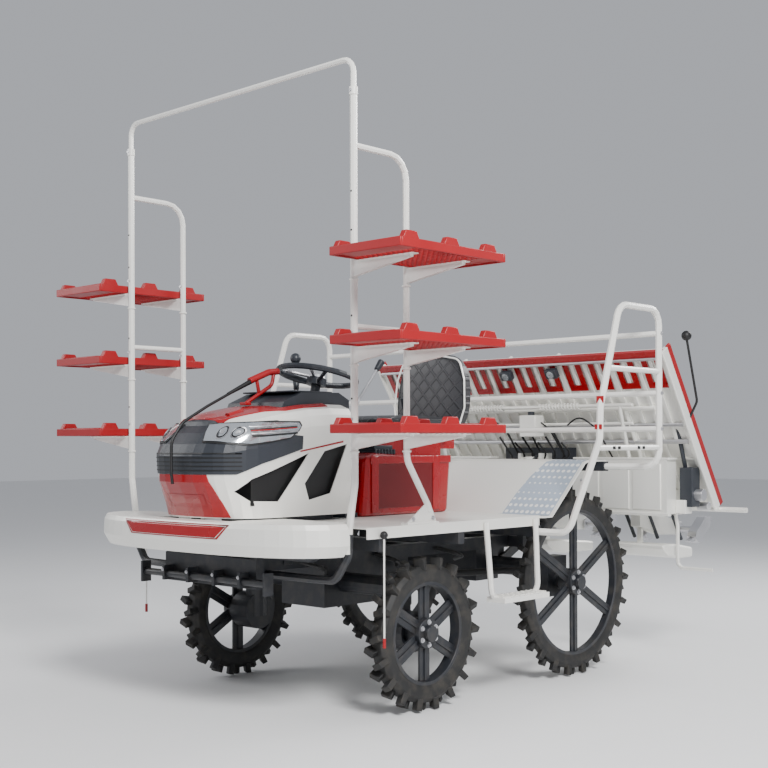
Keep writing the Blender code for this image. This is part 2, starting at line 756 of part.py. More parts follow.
def centre_marker():
    """Red handle bracket on the dash side of the hood, with the slim sight rod lying along the hood."""
    ya = FRONT_AXLE_Y
    roof = hood_roof(ya - 0.445) + HOOD_SKIN - 2 * GAP
    path = (
        (0.0, ya - 0.275, 1.445), (0.0, ya - 0.44, 1.398), (0.0, ya - 0.67, 1.285), (0.0, ya - 0.80, 1.215),
        (0.0, ya - 0.855, 1.140), (0.0, ya - 0.857, 1.010), (0.0, ya - 0.850, 0.965),
    )
    rod_piece = tube(path, 0.006, bend=0.06)
    grip = rod((0.0, ya - 0.280, 1.444), (0.0, ya - 0.430, 1.401), 0.013)
    legs = [
        rod((0.0, ya - 0.30, 1.440), (0.0, ya - 0.455, roof + 0.010), 0.008),
        rod((0.0, ya - 0.42, 1.405), (0.0, ya - 0.462, roof + 0.010), 0.008),
        block((-0.02, ya - 0.478, roof), (0.02, ya - 0.446, roof + 0.012)),
    ]
    return part("centre_marker", joined(rod_piece, grip, *legs), "red_plastic", HOOD_HINGE)


def dash_cowl():
    """Dark instrument cover, steering column housing and its boot."""
    ya = FRONT_AXLE_Y
    visor = plate(
        ((
            ya - 0.420, 1.270
        ), (ya - 0.405, 1.305), (ya - 0.300, 1.348), (ya - 0.080, 1.352), (ya - 0.015, 1.320),
         (ya - 0.015, 1.200), (ya - 0.075, 1.200), (ya - 0.090, 1.265)),
        "X", -0.183, 0.183,
    )
    wall = block((-0.225, ya - 0.084, DECK_TOP + 0.006), (0.225, ya - 0.030, 1.215))
    foot = block((-0.225, ya - 0.083, DECK_TOP + GAP), (0.225, ya - 0.006, DECK_TOP + 0.02))
    axis = Vector((0, math.sin(STEER_TILT), math.cos(STEER_TILT)))
    top = STEER_TOP - axis * (0.085 + GAP)
    boot = rod(top - axis * 0.075, top, 0.062, sides=18, end_radius=0.034)
    return part("dash_cowl", joined(visor, wall, foot, boot), "dark_plastic")


def rear_deck():
    """Sloped tread panel over the rear wheels with its flat top behind the seat."""
    low = DECK_TOP - 0.004
    profile = (
        (DECK_REAR + GAP, low),
        (DECK_REAR + 0.07, low),
        (REAR_AXLE_Y - 0.145, REAR_DECK_TOP - 0.010),
        (REAR_AXLE_Y - 0.110, REAR_DECK_TOP),
        (GUARD_REAR + 0.03, REAR_DECK_TOP),
    )
    bm = bmesh.new()
    verts = [bm.verts.new((-REAR_DECK_HALF, y, z)) for y, z in profile]
    edges = [bm.edges.new(pair) for pair in zip(verts, verts[1:])]
    grown = bmesh.ops.extrude_edge_only(bm, edges=edges)["geom"]
    moved = [item for item in grown if isinstance(item, bmesh.types.BMVert)]
    bmesh.ops.translate(bm, verts=moved, vec=(2 * REAR_DECK_HALF, 0, 0))
    sheet = as_object(bm)
    up = sheet.data.polygons[-1].normal.z > 0
    wall = sheet.modifiers.new("wall", "SOLIDIFY")
    wall.thickness = 0.008
    wall.offset = -1.0 if up else 1.0
    return part("rear_deck", sheet, "ivory_paint")


def seat():
    """Red pedestal, cushion and backrest."""
    ya = FRONT_AXLE_Y
    shape = plate(
        ((ya - 0.005, DECK_TOP + GAP), (ya + 0.585, DECK_TOP + GAP), (ya + 0.610, 1.060), (ya + 0.090, 1.085),
         (ya + 0.020, 1.060)),
        "X", -0.25, 0.25,
    )
    bevel = shape.modifiers.new("edge", "BEVEL")
    bevel.width = 0.02
    bevel.segments = 2
    bevel.limit_method = "ANGLE"
    stand = block((-0.19, ya + 0.14, 1.05), (0.19, ya + 0.60, 1.160))
    shelf = block((-0.12, ya + 0.55, 1.10), (0.12, ya + 0.785, 1.160 - GAP))
    part("seat_pedestal", joined(frozen(shape), stand, shelf), "red_paint")
    cushion = block((-0.235, ya + 0.235, 1.160 + GAP), (0.235, ya + 0.700, 1.265))
    soften = cushion.modifiers.new("edge", "BEVEL")
    soften.width = 0.03
    soften.segments = 2
    part("seat_cushion", cushion, "seat_vinyl")
    back = plate(
        ((ya + 0.708, 1.160), (ya + 0.788, 1.160), (ya + 0.830, 1.575), (ya + 0.750, 1.575)), "X", -0.23, 0.23
    )
    soften = back.modifiers.new("edge", "BEVEL")
    soften.width = 0.03
    soften.segments = 2
    part("seat_back", back, "seat_vinyl")


# ---------------------------------------------------------------- racks, rails and steps
def mirrored(path, sign):
    return [(sign * x, y, z) for x, y, z in path]


def seedling_racks():
    """On each side a front and a rear post, a hoop, a tie and six tray arms, all welded."""
    for side, sign in SIDES:
        front = tube(
            mirrored(
                ((POST_X - 0.031, POST_FRONT_Y, 0.7753), (POST_X - 0.030, POST_FRONT_Y, 0.800),
                 (POST_X, POST_FRONT_Y, 0.970), (POST_X, POST_FRONT_Y, POST_TOP)),
                sign,
            ),
            POST_R, bend=0.10,
        )
        hoop = tube(
            mirrored(
                ((
                    POST_X, POST_FRONT_Y, HOOP_TOP
                ), (POST_X, POST_REAR_Y, HOOP_TOP), (POST_X, POST_REAR_Y, 1.060),
                 (POST_X + 0.012, POST_REAR_Y + 0.11, 0.880), (POST_X + 0.012, POST_REAR_Y + 0.12, 0.850)),
                sign,
            ),
            HOOP_R, bend=0.095,
        )
        tie = rod(
            (sign * POST_X, POST_FRONT_Y, TIE_Z), (sign * POST_X, POST_REAR_Y, TIE_Z), 0.011, sides=10
        )
        gusset = plate(
            ((POST_REAR_Y - 0.02, DECK_TOP + 0.002), (POST_REAR_Y + 0.165, DECK_TOP + 0.002),
             (POST_REAR_Y + 0.125, 0.885), (POST_REAR_Y + 0.105, 0.885)),
            "X", *sorted((sign * (POST_X + 0.009), sign * (POST_X + 0.015))),
        )
        flange_in, flange_out = sorted((sign * (POST_X - 0.012), sign * (DECK_HALF - 0.004)))
        flange = block(
            (flange_in, POST_REAR_Y - 0.022, DECK_TOP + GAP), (
                flange_out, POST_REAR_Y + 0.167, DECK_TOP + 0.007
            )
        )
        arms = []
        for _, level in TRAY_LEVELS:
            for y in (POST_FRONT_Y, POST_REAR_Y):
                outline = (
                    (sign * (POST_X + 0.002), level - 0.062), (sign * (POST_X + 0.30), level - 0.014),
                    (sign * (POST_X + 0.30), level - GAP), (sign * (POST_X + 0.002), level - GAP),
                )
                arms.append(plate(outline[::sign], "Y", y - 0.010, y + 0.010))
        part(f"rack_frame_{side}", joined(front, hoop, tie, gusset, flange, *arms), "white_tube")


def arch_bar():
    """Slimmer tube that stands in the two front posts and bridges the machine."""
    foot = POST_TOP + GAP
    path = (
        (POST_X, POST_FRONT_Y, foot), (POST_X, POST_FRONT_Y, ARCH_TOP),
        (-POST_X, POST_FRONT_Y, ARCH_TOP), (-POST_X, POST_FRONT_Y, foot),
    )
    return part("arch_bar", tube(path, ARCH_R, bend=0.055, steps=5), "white_tube")


def seedling_trays():
    """Six open plastic trays, three on each rack."""
    for side, sign in SIDES:
        for label, level in TRAY_LEVELS:
            inner, outer = sorted((sign * TRAY_IN, sign * TRAY_OUT))
            box = block((inner, TRAY_FRONT, level), (outer, TRAY_REAR, level + TRAY_DEPTH))
            inside = block(
                (inner + TRAY_WALL, TRAY_FRONT + TRAY_WALL, level + TRAY_WALL),
                (outer - TRAY_WALL, TRAY_REAR - TRAY_WALL, level + TRAY_DEPTH + 0.05),
            )
            part(f"seedling_tray_{side}_{label}", cut(box, inside), "red_plastic")


def rear_guard_rail():
    """Two side hoops outside the rear wheels, joined by three cross rails behind the seat."""
    y_front, y_rear = GUARD_FRONT, GUARD_REAR
    stub_z = DECK_TOP - DECK_EDGE - 0.028
    beam_z = REAR_DECK_TOP - 0.031
    pieces = []
    for _, sign in SIDES:
        hoop = (
            (DECK_HALF + GAP, DECK_REAR - 0.01, stub_z), (0.925, DECK_REAR - 0.01, stub_z),
            (GUARD_X, DECK_REAR - 0.01, 1.140), (GUARD_X, y_front, 1.280), (
                GUARD_X, y_front + 0.155, GUARD_TOP
            ),
            (GUARD_X, y_rear, GUARD_TOP), (GUARD_X, y_rear, beam_z), (0.80 + GAP, y_rear, beam_z),
        )
        pieces.append(tube(mirrored(hoop, sign), GUARD_R, bend=0.075))
        for z, lean in ((1.455, 0.060), (1.105, -0.008)):
            x = sign * (GUARD_X if z > 1.2 else GUARD_X - 0.006)
            pieces.append(rod((x, y_front + lean, z), (sign * GUARD_X, y_rear, z), 0.0125, sides=10))
    for z in GUARD_RAILS:
        pieces.append(rod((-GUARD_X, y_rear, z), (GUARD_X, y_rear, z), 0.0130, sides=10))
    return part("rear_guard_rail", joined(*pieces), "white_tube")


STEP_FRONT = FRONT_AXLE_Y + 0.225
STEP_REAR = FRONT_AXLE_Y + 0.585
STEP_TREAD = 0.455


def side_steps():
    """A hanging step on each side: two legs, a tread frame and its tread plate."""
    for side, sign in SIDES:
        x = DECK_HALF + 0.0125 + GAP
        legs = (
            (x, STEP_FRONT, DECK_TOP - 0.012), (x, STEP_FRONT, DECK_TOP - 0.05), (
                x + 0.004, STEP_FRONT + 0.03, STEP_TREAD
            ),
            (x + 0.004, STEP_REAR, STEP_TREAD), (x, STEP_REAR - 0.01, DECK_TOP - 0.05), (
                x, STEP_REAR - 0.01, DECK_TOP - 0.012
            ),
        )
        frame = tube(mirrored(legs, sign), 0.0125, bend=0.05)
        inner, outer = sorted((sign * (x - 0.03), sign * (x + 0.07)))
        tread = block(
            (inner, STEP_FRONT + 0.035, STEP_TREAD - 0.012), (outer, STEP_REAR - 0.005, STEP_TREAD + 0.010)
        )
        part(f"side_step_{side}", joined(frame, tread), "white_tube")


# ---------------------------------------------------------------- lift linkage
LIFT_REAR = Vector((0, LIFT_PIN_Y + LIFT_RUN, LOWER_PIN_Z + LIFT_RISE))
UPPER_REAR = Vector((0, LIFT_PIN_Y + LIFT_RUN, UPPER_PIN_Z + LIFT_RISE))
CYLINDER_FOOT = Vector((0, LIFT_PIN_Y, LOWER_PIN_Z + 0.045))
CYLINDER_EYE = Vector((0, LIFT_PIN_Y + LIFT_RUN, UPPER_PIN_Z + LIFT_RISE - 0.050))
EYE_SLOT = Vector((0, -0.0028, 0.0130))   # from the pin's place at rest to its farthest
EYE_GAP = 0.0015


def link_arm(start, end, low_x, high_x, depth):
    """A flat bar from pin to pin with a bored round eye at each end."""
    start, end = Vector(start), Vector(end)
    along = (end - start).normalized()
    across = Vector((0, -along.z, along.y)) * depth / 2
    outline = [start - across, end - across, end + across, start + across]
    bar = plate([(point.y, point.z) for point in outline], "X", low_x, high_x)
    pieces, bores = [], []
    for pin in (start, end):
        pieces.append(
            rod((low_x - 0.0005, pin.y, pin.z), (high_x + 0.0005, pin.y, pin.z), depth * 0.62, sides=20)
        )
        bores.append(
            rod((low_x - 0.01, pin.y, pin.z), (high_x + 0.01, pin.y, pin.z), PIN_R + PIN_GAP, sides=16)
        )
    return cut(frozen(joined(bar, *pieces)), *bores)


def lift_linkage():
    lower_pin = Vector((0, LIFT_PIN_Y, LOWER_PIN_Z))
    arms = [
        frozen(
            link_arm(lower_pin, LIFT_REAR, *sorted((sign * 0.0865, sign * 0.1045)), 0.045)
        ) for _, sign in SIDES
    ]
    middle = (lower_pin + LIFT_REAR) / 2
    cross = rod(middle + Vector((-0.09, 0, 0)), middle + Vector((0.09, 0, 0)), 0.014)
    part("lower_lift_arms", joined(*arms, cross), "chassis_paint", lower_pin)
    upper_pin = Vector((0, LIFT_PIN_Y, UPPER_PIN_Z))
    part("top_link", link_arm(upper_pin, UPPER_REAR, 0.022, 0.040, 0.034), "chassis_paint", upper_pin)
    x = -0.020
    foot, eye = CYLINDER_FOOT + Vector((x, 0, 0)), CYLINDER_EYE + Vector((x, 0, 0))
    along = (eye - foot).normalized()
    eye_end = rod(foot - Vector((0.0205, 0, 0)), foot + Vector((0.0205, 0, 0)), 0.022, sides=20)
    barrel_start, barrel_end = foot + along * 0.015, foot + along * 0.330
    barrel = frozen(joined(rod(barrel_start, barrel_end, 0.026, sides=18), eye_end))
    bore = rod(foot - Vector((0.05, 0, 0)), foot + Vector((0.05, 0, 0)), PIN_R + PIN_GAP, sides=16)
    hollow = rod(foot + along * 0.060, barrel_end + along * 0.02, 0.0135, sides=16)
    part("lift_cylinder", cut(barrel, bore, hollow), "chassis_paint", CYLINDER_FOOT)
    # the eye is a slot, because its pin wanders from a circle as the linkage falls
    width, bore = Vector((0.014, 0, 0)), PIN_R + EYE_GAP
    ring = eye + EYE_SLOT / 2
    rod_eye = rod(ring - width, ring + width, bore + EYE_SLOT.length / 2 + 0.008, sides=24)
    shaft = rod(foot + along * 0.250, eye, 0.0125, sides=16)
    reach = Vector((0.05, 0, 0))
    bores = [
        rod(eye + EYE_SLOT * share - reach, eye + EYE_SLOT * share + reach, bore, sides=24)
        for share in (0.0, 0.25, 0.5, 0.75, 1.0)
    ]
    part("lift_cylinder_rod", cut(frozen(joined(shaft, rod_eye)), *bores), "bright_steel", CYLINDER_EYE)


# ---------------------------------------------------------------- planting unit
DRIVE_XS = (-2 * ROW_PITCH, 0.0, 2 * ROW_PITCH)
PLATFORM_RUN = Vector((0, PLATFORM_HEAD[0] - PLATFORM_FOOT[0], PLATFORM_HEAD[1] - PLATFORM_FOOT[1]))
PLATFORM_DIR = PLATFORM_RUN.normalized()
PLATFORM_OUT = Vector((0, PLATFORM_DIR.z, -PLATFORM_DIR.y))


def platform_point(along, out):
    """A (y, z) point on the platform: along its slope from the foot, and out from its sheet."""
    place = Vector((0, *PLATFORM_FOOT)) + PLATFORM_DIR * along + PLATFORM_OUT * out
    return place.y, place.z


def planting_frame():
    """Main beam, link mast, drive cases, platform guides and side guards."""
    y = UNIT_Y
    pieces = [block((-0.85, y - 0.03, BEAM_Z - 0.03), (0.85, y + 0.03, BEAM_Z + 0.03))]
    pieces += both_sides(
        (0.060, LIFT_REAR.y - 0.030, LOWER_PIN_Z + LIFT_RISE - 0.030), (0.080, y - 0.01, UPPER_REAR.z + 0.030)
    )
    pieces.append(block((-0.079, y - 0.029, BEAM_Z), (0.079, y - 0.012, UPPER_REAR.z + 0.029)))
    for pin, half in ((LIFT_REAR, 0.112), (UPPER_REAR, 0.070), (CYLINDER_EYE, 0.070)):
        pieces.append(rod((-half, pin.y, pin.z), (half, pin.y, pin.z), PIN_R))
    for x in DRIVE_XS:
        pieces.append(
            plate(
                ((y - 0.02, BEAM_Z - 0.10), (y + 0.20, BEAM_Z - 0.155), (ROTOR_Y + 0.03, ROTOR_Z - 0.035),
                 (ROTOR_Y + 0.045, ROTOR_Z), (ROTOR_Y + 0.03, ROTOR_Z + 0.035), (y + 0.02, BEAM_Z - 0.015),
                 (y - 0.02, BEAM_Z - 0.015)),
                "X", x - 0.028, x + 0.028,
            )
        )
    # lower slide rail on three brackets, and the upper guide on two struts
    rail_y, rail_z = platform_point(-0.0134, 0.004)
    pieces.append(rod((-RAIL_REACH, rail_y, rail_z), (RAIL_REACH, rail_y, rail_z), 0.0130, sides=12))
    for x in DRIVE_XS:
        pieces.append(block((x - 0.015, rail_y - 0.007, ROTOR_Z), (x + 0.015, rail_y + 0.007, rail_z)))
    guide_y, guide_z = platform_point(0.62, -0.0124)
    for x in (-0.62, 0.62):
        pieces.append(tube(((x, y, BEAM_Z), (x, y, 1.06), (x, guide_y, guide_z)), 0.011, bend=0.06))
    pieces.append(rod((-0.80, guide_y, guide_z), (0.80, guide_y, guide_z), 0.0120, sides=12))
    for _, sign in SIDES:
        guard = (
            (0.82, y, BEAM_Z), (0.825, y + 0.02, 0.70), (0.825, y + 0.02, 0.485), (1.02, y + 0.02, 0.485),
        )
        pieces.append(tube(mirrored(guard, sign), 0.0095, bend=0.035))
    bores = [
        rod((x - 0.05, ROTOR_Y, ROTOR_Z), (x + 0.05, ROTOR_Y, ROTOR_Z), 0.0156, sides=16) for x in DRIVE_XS
    ]
    return part("planting_frame", cut(frozen(joined(*pieces)), *bores), "ivory_paint", LIFT_REAR)


def planting_covers():
    """Sheet covers on the front of the planting unit, one on each side of the lift mast."""
    y = UNIT_Y - 0.03 - GAP
    for side, sign in SIDES:
        inner, outer = sorted((sign * 0.30, sign * 0.845))
        cover = block((inner, y - 0.09, BEAM_Z - 0.025), (outer, y, 1.040))
        hollow = block((inner + 0.004, y - 0.086, BEAM_Z - 0.1), (outer - 0.004, y + 0.05, 1.036))
        part(f"planting_cover_{side}", cut(cover, hollow), "ivory_paint")


def seedling_platform():
    """Sloped sheet with seven row walls, red end boards and a turned head."""
    length = PLATFORM_RUN.length
    sheet = [platform_point(*spot) for spot in ((0.0, 0.0), (0.0, 0.008), (length, 0.008), (length, 0.0))]
    pieces = [plate(sheet, "X", -PLATFORM_HALF + 0.001, PLATFORM_HALF - 0.001)]
    wall = [
        platform_point(*spot)
        for spot in (
            (0.002, 0.004), (0.002, 0.045), (length - 0.10, 0.050), (length - 0.002, 0.030),
            (length - 0.002, 0.004)
        )
    ]
    spacing = (2 * PLATFORM_HALF - 0.012) / 6
    for number in range(7):
        x = -PLATFORM_HALF + 0.006 + number * spacing
        pieces.append(plate(wall, "X", x - 0.006, x + 0.006))
    return part("seedling_platform", joined(*pieces), "ivory_paint")


def planting_rotors():
    """On each drive case a shaft with a rotary arm case at both ends, carrying two planting claws each."""
    for label, x in zip(("right", "centre", "left"), DRIVE_XS):
        centre = Vector((x, ROTOR_Y, ROTOR_Z))
        pieces = [rod(centre - Vector((0.176, 0, 0)), centre + Vector((0.176, 0, 0)), 0.0150, sides=16)]
        for offset in (-ROW_PITCH / 2, ROW_PITCH / 2):
            arm_x = x + offset
            case = plate(
                ((-0.085, -0.022), (-0.060, -0.036), (0.060, -0.036), (0.085, -0.022), (0.085, 0.022),
                 (0.060, 0.036), (-0.060, 0.036), (-0.085, 0.022)),
                "X", -0.026, 0.026,
            )
            claw_out = 0.014
            claws = []
            for turn in (1, -1):
                claw = plate(
                    ((turn * 0.070, -0.012), (
                        turn * (ROTOR_REACH - 0.004), -0.030
                    ), (turn * (ROTOR_REACH - 0.004), -0.018),
                     (turn * 0.075, 0.014))[::turn],
                    "X", -claw_out, claw_out,
                )
                if turn < 0:
                    claw.data.transform(Matrix.Scale(-1, 4, (0, 0, 1)))
                    claw.data.flip_normals()
                claws.append(claw)
            for item in (case, *claws):
                item.data.transform(
                    Matrix.Translation((arm_x, ROTOR_Y, ROTOR_Z)) @ Matrix.Rotation(math.radians(38), 4, "X")
                )
                pieces.append(item)
        part(f"planting_rotor_{label}", joined(*pieces), "bright_steel", centre)


def floats():
    """Three boat-shaped floats under the planting unit, each on its own hanger."""
    table = (                 # name, middle, half width, front, rear
        ("centre", 0.0, 0.17, UNIT_Y - 0.20, UNIT_Y + 0.235),
        ("left", 0.60, 0.19, UNIT_Y - 0.06, UNIT_Y + 0.235),
        ("right", -0.60, 0.19, UNIT_Y - 0.06, UNIT_Y + 0.235),
    )
    for label, x, half, front, rear in table:
        hull = plate(
            ((front, 0.585), (front + 0.06, 0.545), (front + 0.16, 0.525), (rear, 0.525), (rear, 0.575),
             (front + 0.14, 0.600), (front, 0.605)),
            "X", x - half, x + half,
        )
        edge = hull.modifiers.new("edge", "BEVEL")
        edge.width = 0.008
        edge.segments = 1
        edge.limit_method = "ANGLE"
        top = BEAM_Z - 0.100 - 0.0137 - GAP
        hanger = block((x - 0.012, UNIT_Y + 0.015, 0.57), (x + 0.012, UNIT_Y + 0.035, top))
        part(f"planting_float_{label}", joined(frozen(hull), hanger), "ivory_paint")


def transplanter():
    main_frame()
    front_bumper()
    engine_block()
    transmission_case()
    rear_axle_case()
    wheels()
    knuckles()
    steering_wheel()
    front_apron()
    floor_deck()
    hood()
    centre_marker()
    dash_cowl()
    rear_deck()
    seat()
    seedling_racks()
    arch_bar()
    seedling_trays()
    rear_guard_rail()
    side_steps()
    lift_linkage()
    planting_frame()
    planting_covers()
    seedling_platform()
    planting_rotors()
    floats()


transplanter()
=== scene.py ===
"""Looks of a six-row ride-on rice transplanter: finishes for its frame, and its fine pieces.

Metres, +Z up, the machine faces -Y and its left side is +X.
"""

import json
import math

import bmesh
import bpy
from mathutils import Matrix, Vector


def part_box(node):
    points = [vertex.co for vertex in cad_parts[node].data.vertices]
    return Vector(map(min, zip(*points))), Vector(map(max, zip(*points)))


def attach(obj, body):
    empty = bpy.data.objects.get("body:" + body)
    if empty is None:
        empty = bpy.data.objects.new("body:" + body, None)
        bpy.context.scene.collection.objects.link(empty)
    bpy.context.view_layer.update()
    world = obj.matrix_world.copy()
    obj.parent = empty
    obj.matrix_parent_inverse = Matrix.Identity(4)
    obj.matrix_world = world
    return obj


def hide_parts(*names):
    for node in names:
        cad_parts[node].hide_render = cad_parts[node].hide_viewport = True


bl_info = {
    "name": "Rice transplanter looks",
    "version": (1, 0, 0),
    "blender": (4, 5, 0),
    "location": "3D View > Sidebar > Transplanter",
    "description": "Adds the finishes and the fine pieces of a ride-on rice transplanter to its frame",
    "category": "Object",
}

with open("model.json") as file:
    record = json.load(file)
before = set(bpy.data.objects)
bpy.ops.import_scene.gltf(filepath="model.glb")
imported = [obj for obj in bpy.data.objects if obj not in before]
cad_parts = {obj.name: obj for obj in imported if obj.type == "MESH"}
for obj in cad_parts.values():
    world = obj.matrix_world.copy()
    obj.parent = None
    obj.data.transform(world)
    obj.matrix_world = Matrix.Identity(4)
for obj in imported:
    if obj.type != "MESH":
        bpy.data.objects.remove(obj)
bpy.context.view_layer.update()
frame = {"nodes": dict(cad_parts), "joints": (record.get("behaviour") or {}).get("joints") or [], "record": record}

SIDES = (("left", 1), ("right", -1))
FRONT_Y = sum(corner[1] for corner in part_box("front_wheel_left")) / 2
REAR_Y = sum(corner[1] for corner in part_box("rear_wheel_left")) / 2
WHEEL_X = 0.61
DECK_LOW, DECK_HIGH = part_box("floor_deck")
TRAY_LEVELS = ("lower", "middle", "upper")
POST_X = 0.731
POST_FRONT_Y = FRONT_Y - 0.534
POST_REAR_Y = FRONT_Y - 0.235
PLATFORM_FOOT = Vector((0, FRONT_Y + 1.90, 0.790))
PLATFORM_HEAD = Vector((0, FRONT_Y + 1.38, 1.580))
UNIT_Y = FRONT_Y + 1.70
PLATFORM_HALF = 0.947
FRONT_WHEEL = {"radius": 0.325, "width": 0.092, "rim": 0.215, "spokes": 6, "spoke_w": 0.062}
REAR_WHEEL = {"radius": 0.450, "width": 0.064, "rim": 0.350, "spokes": 6, "spoke_w": 0.055}
HUB_BOLTS = 6
TRAY_WALL = 0.012
TRAY_PAD = 0.125              # solid ends of a tray's lattice floor
CAMERA_PLACE = (4.0968, -4.5998, 1.1299)
CAMERA_PAN = 43.384           # degrees
CAMERA_TILT = 90.181
CAMERA_ROLL = -0.184
CAMERA_LENS = 58.13
CAMERA_SHIFT = 0.0714


# ---------------------------------------------------------------- shapes
def add_block(bm, low, high, turn=None):
    """A box between two corners, turned after it is placed."""
    low, high = Vector(low), Vector(high)
    place = Matrix.Translation((low + high) / 2) @ Matrix.Diagonal((*(high - low), 1))
    return bmesh.ops.create_cube(bm, size=1, matrix=turn @ place if turn else place)["verts"]


def add_side_block(bm, sign, low, high):
    """A box between two corners given for the left side, and mirrored to the right when sign is -1."""
    inner, outer = sorted((sign * low[0], sign * high[0]))
    return add_block(bm, (inner, *low[1:]), (outer, *high[1:]))


def add_rod(bm, start, end, radius, sides=12, end_radius=None, turn=None):
    """A round bar or a cone between two points."""
    start, end = Vector(start), Vector(end)
    along = end - start
    place = Matrix.Translation((start + end) / 2) @ along.to_track_quat("Z", "Y").to_matrix().to_4x4()
    bmesh.ops.create_cone(
        bm,
        cap_ends=True,
        segments=sides,
        radius1=radius,
        radius2=radius if end_radius is None else end_radius,
        depth=along.length,
        matrix=turn @ place if turn else place,
    )


def add_bent_rod(bm, points, radius, sides=8):
    """A round bar along a path: a disc extruded from point to point and tilted at each bend."""
    points = [Vector(point) for point in points]
    runs = [(after - before).normalized() for before, after in zip(points, points[1:])]
    ways = [runs[0]] + [(before + after).normalized() for before, after in zip(runs, runs[1:])] + [runs[-1]]
    facing = ways[0].to_track_quat("Z", "Y").to_matrix().to_4x4()
    disc = bmesh.ops.create_circle(
        bm, cap_ends=True, segments=sides, radius=radius, matrix=Matrix.Translation(points[0]) @ facing
    )
    face = disc["verts"][0].link_faces[0]
    for k in range(1, len(points)):
        grown = bmesh.ops.extrude_face_region(bm, geom=[face])["geom"]
        face = next(item for item in grown if isinstance(item, bmesh.types.BMFace))
        turn = ways[k - 1].rotation_difference(ways[k]).to_matrix().to_4x4()
        step = Matrix.Translation(points[k]) @ turn @ Matrix.Translation(-points[k - 1])
        bmesh.ops.transform(bm, matrix=step, verts=face.verts)


def rounded(points, bend, steps=4):
    """A path with each inner corner replaced by an arc."""
    points = [Vector(point) for point in points]
    path = [points[0]]
    for before, corner, after in zip(points, points[1:], points[2:]):
        to_before = (before - corner).normalized()
        to_after = (after - corner).normalized()
        half = to_before.angle(to_after) / 2
        radius = min(bend, 0.49 * min((before - corner).length, (after - corner).length) * math.tan(half))
        middle = (to_before + to_after).normalized()
        across = (to_after - to_before).normalized()
        centre = corner + middle * (radius / math.sin(half))
        for step in range(steps + 1):
            angle = (math.pi / 2 - half) * (2 * step / steps - 1)
            path.append(centre + (across * math.sin(angle) - middle * math.cos(angle)) * radius)
    path.append(points[-1])
    return path


def add_ring(bm, profile, centre, steps=72):
    """A closed ring: a closed profile of (along X, radius) points spun about the X axis."""
    middle = Vector(centre)
    verts = [bm.verts.new(middle + Vector((along, 0, radius))) for along, radius in profile]
    edges = [bm.edges.new(pair) for pair in zip(verts, verts[1:] + verts[:1])]
    bmesh.ops.spin(
        bm, geom=verts + edges, cent=middle, axis=(1, 0, 0), angle=2 * math.pi, steps=steps, use_merge=True
    )
    bmesh.ops.remove_doubles(bm, verts=bm.verts, dist=0.00002)


def piece(bm, name, material, body, facing=False, edge=0.0, smooth=38):
    """Makes the shape a piece that rides on a body and takes the finish it is given."""
    if facing:
        bmesh.ops.recalc_face_normals(bm, faces=bm.faces)
    mesh = bpy.data.meshes.new(name)
    bm.to_mesh(mesh)
    bm.free()
    mesh.shade_smooth()
    mesh.set_sharp_from_angle(angle=math.radians(smooth))
    mesh.materials.append(material)
    made = bpy.data.objects.new(name, mesh)
    bpy.context.scene.collection.objects.link(made)
    if edge:
        bevel = made.modifiers.new("edge", "BEVEL")
        bevel.width = edge
        bevel.segments = 2
        bevel.limit_method = "ANGLE"
    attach(made, body)
    return made


def laid_on(node, outline, plane, lift, keep=()):
    """The part of a node's surface inside a convex outline, raised along its normals.

    The outline's points are (y, z) for plane X, (x, z) for plane Y and (x, y) for plane Z.
    keep lists further (point, direction) planes: what lies along the direction stays.
    """
    bm = bmesh.new()
    bm.from_mesh(frame["nodes"][node].data)
    bmesh.ops.remove_doubles(bm, verts=bm.verts, dist=0.00005)
    lift_point = {
        "X": lambda u, v: Vector((0, u, v)),
        "Y": lambda u, v: Vector((u, 0, v)),
        "Z": lambda u, v: Vector((u, v, 0)),
    }[plane]
    across = {"X": Vector((1, 0, 0)), "Y": Vector((0, 1, 0)), "Z": Vector((0, 0, 1))}[plane]
    corners = [lift_point(*point) for point in outline]
    middle = sum(corners, Vector()) / len(corners)
    cuts = list(keep)
    for first, second in zip(corners, corners[1:] + corners[:1]):
        inward = across.cross(second - first).normalized()
        if inward.dot(middle - first) < 0:
            inward = -inward
        cuts.append((first, inward))
    for point, inward in cuts:
        geometry = list(bm.verts) + list(bm.edges) + list(bm.faces)
        bmesh.ops.bisect_plane(bm, geom=geometry, plane_co=point, plane_no=-inward, clear_outer=True)
    bm.normal_update()
    for vert in bm.verts:
        vert.co += vert.normal * lift
    open_edges = [edge for edge in bm.edges if edge.is_boundary]
    bmesh.ops.holes_fill(bm, edges=open_edges, sides=0)
    bm.normal_update()
    return bm


def bolt(bm, point, way, size=0.008):
    """A hexagon head with its washer."""
    point, way = Vector(point), Vector(way).normalized()
    add_rod(bm, point, point + way * size * 0.25, size * 1.25, sides=14)
    add_rod(bm, point, point + way * size * 0.9, size * 0.85, sides=6)


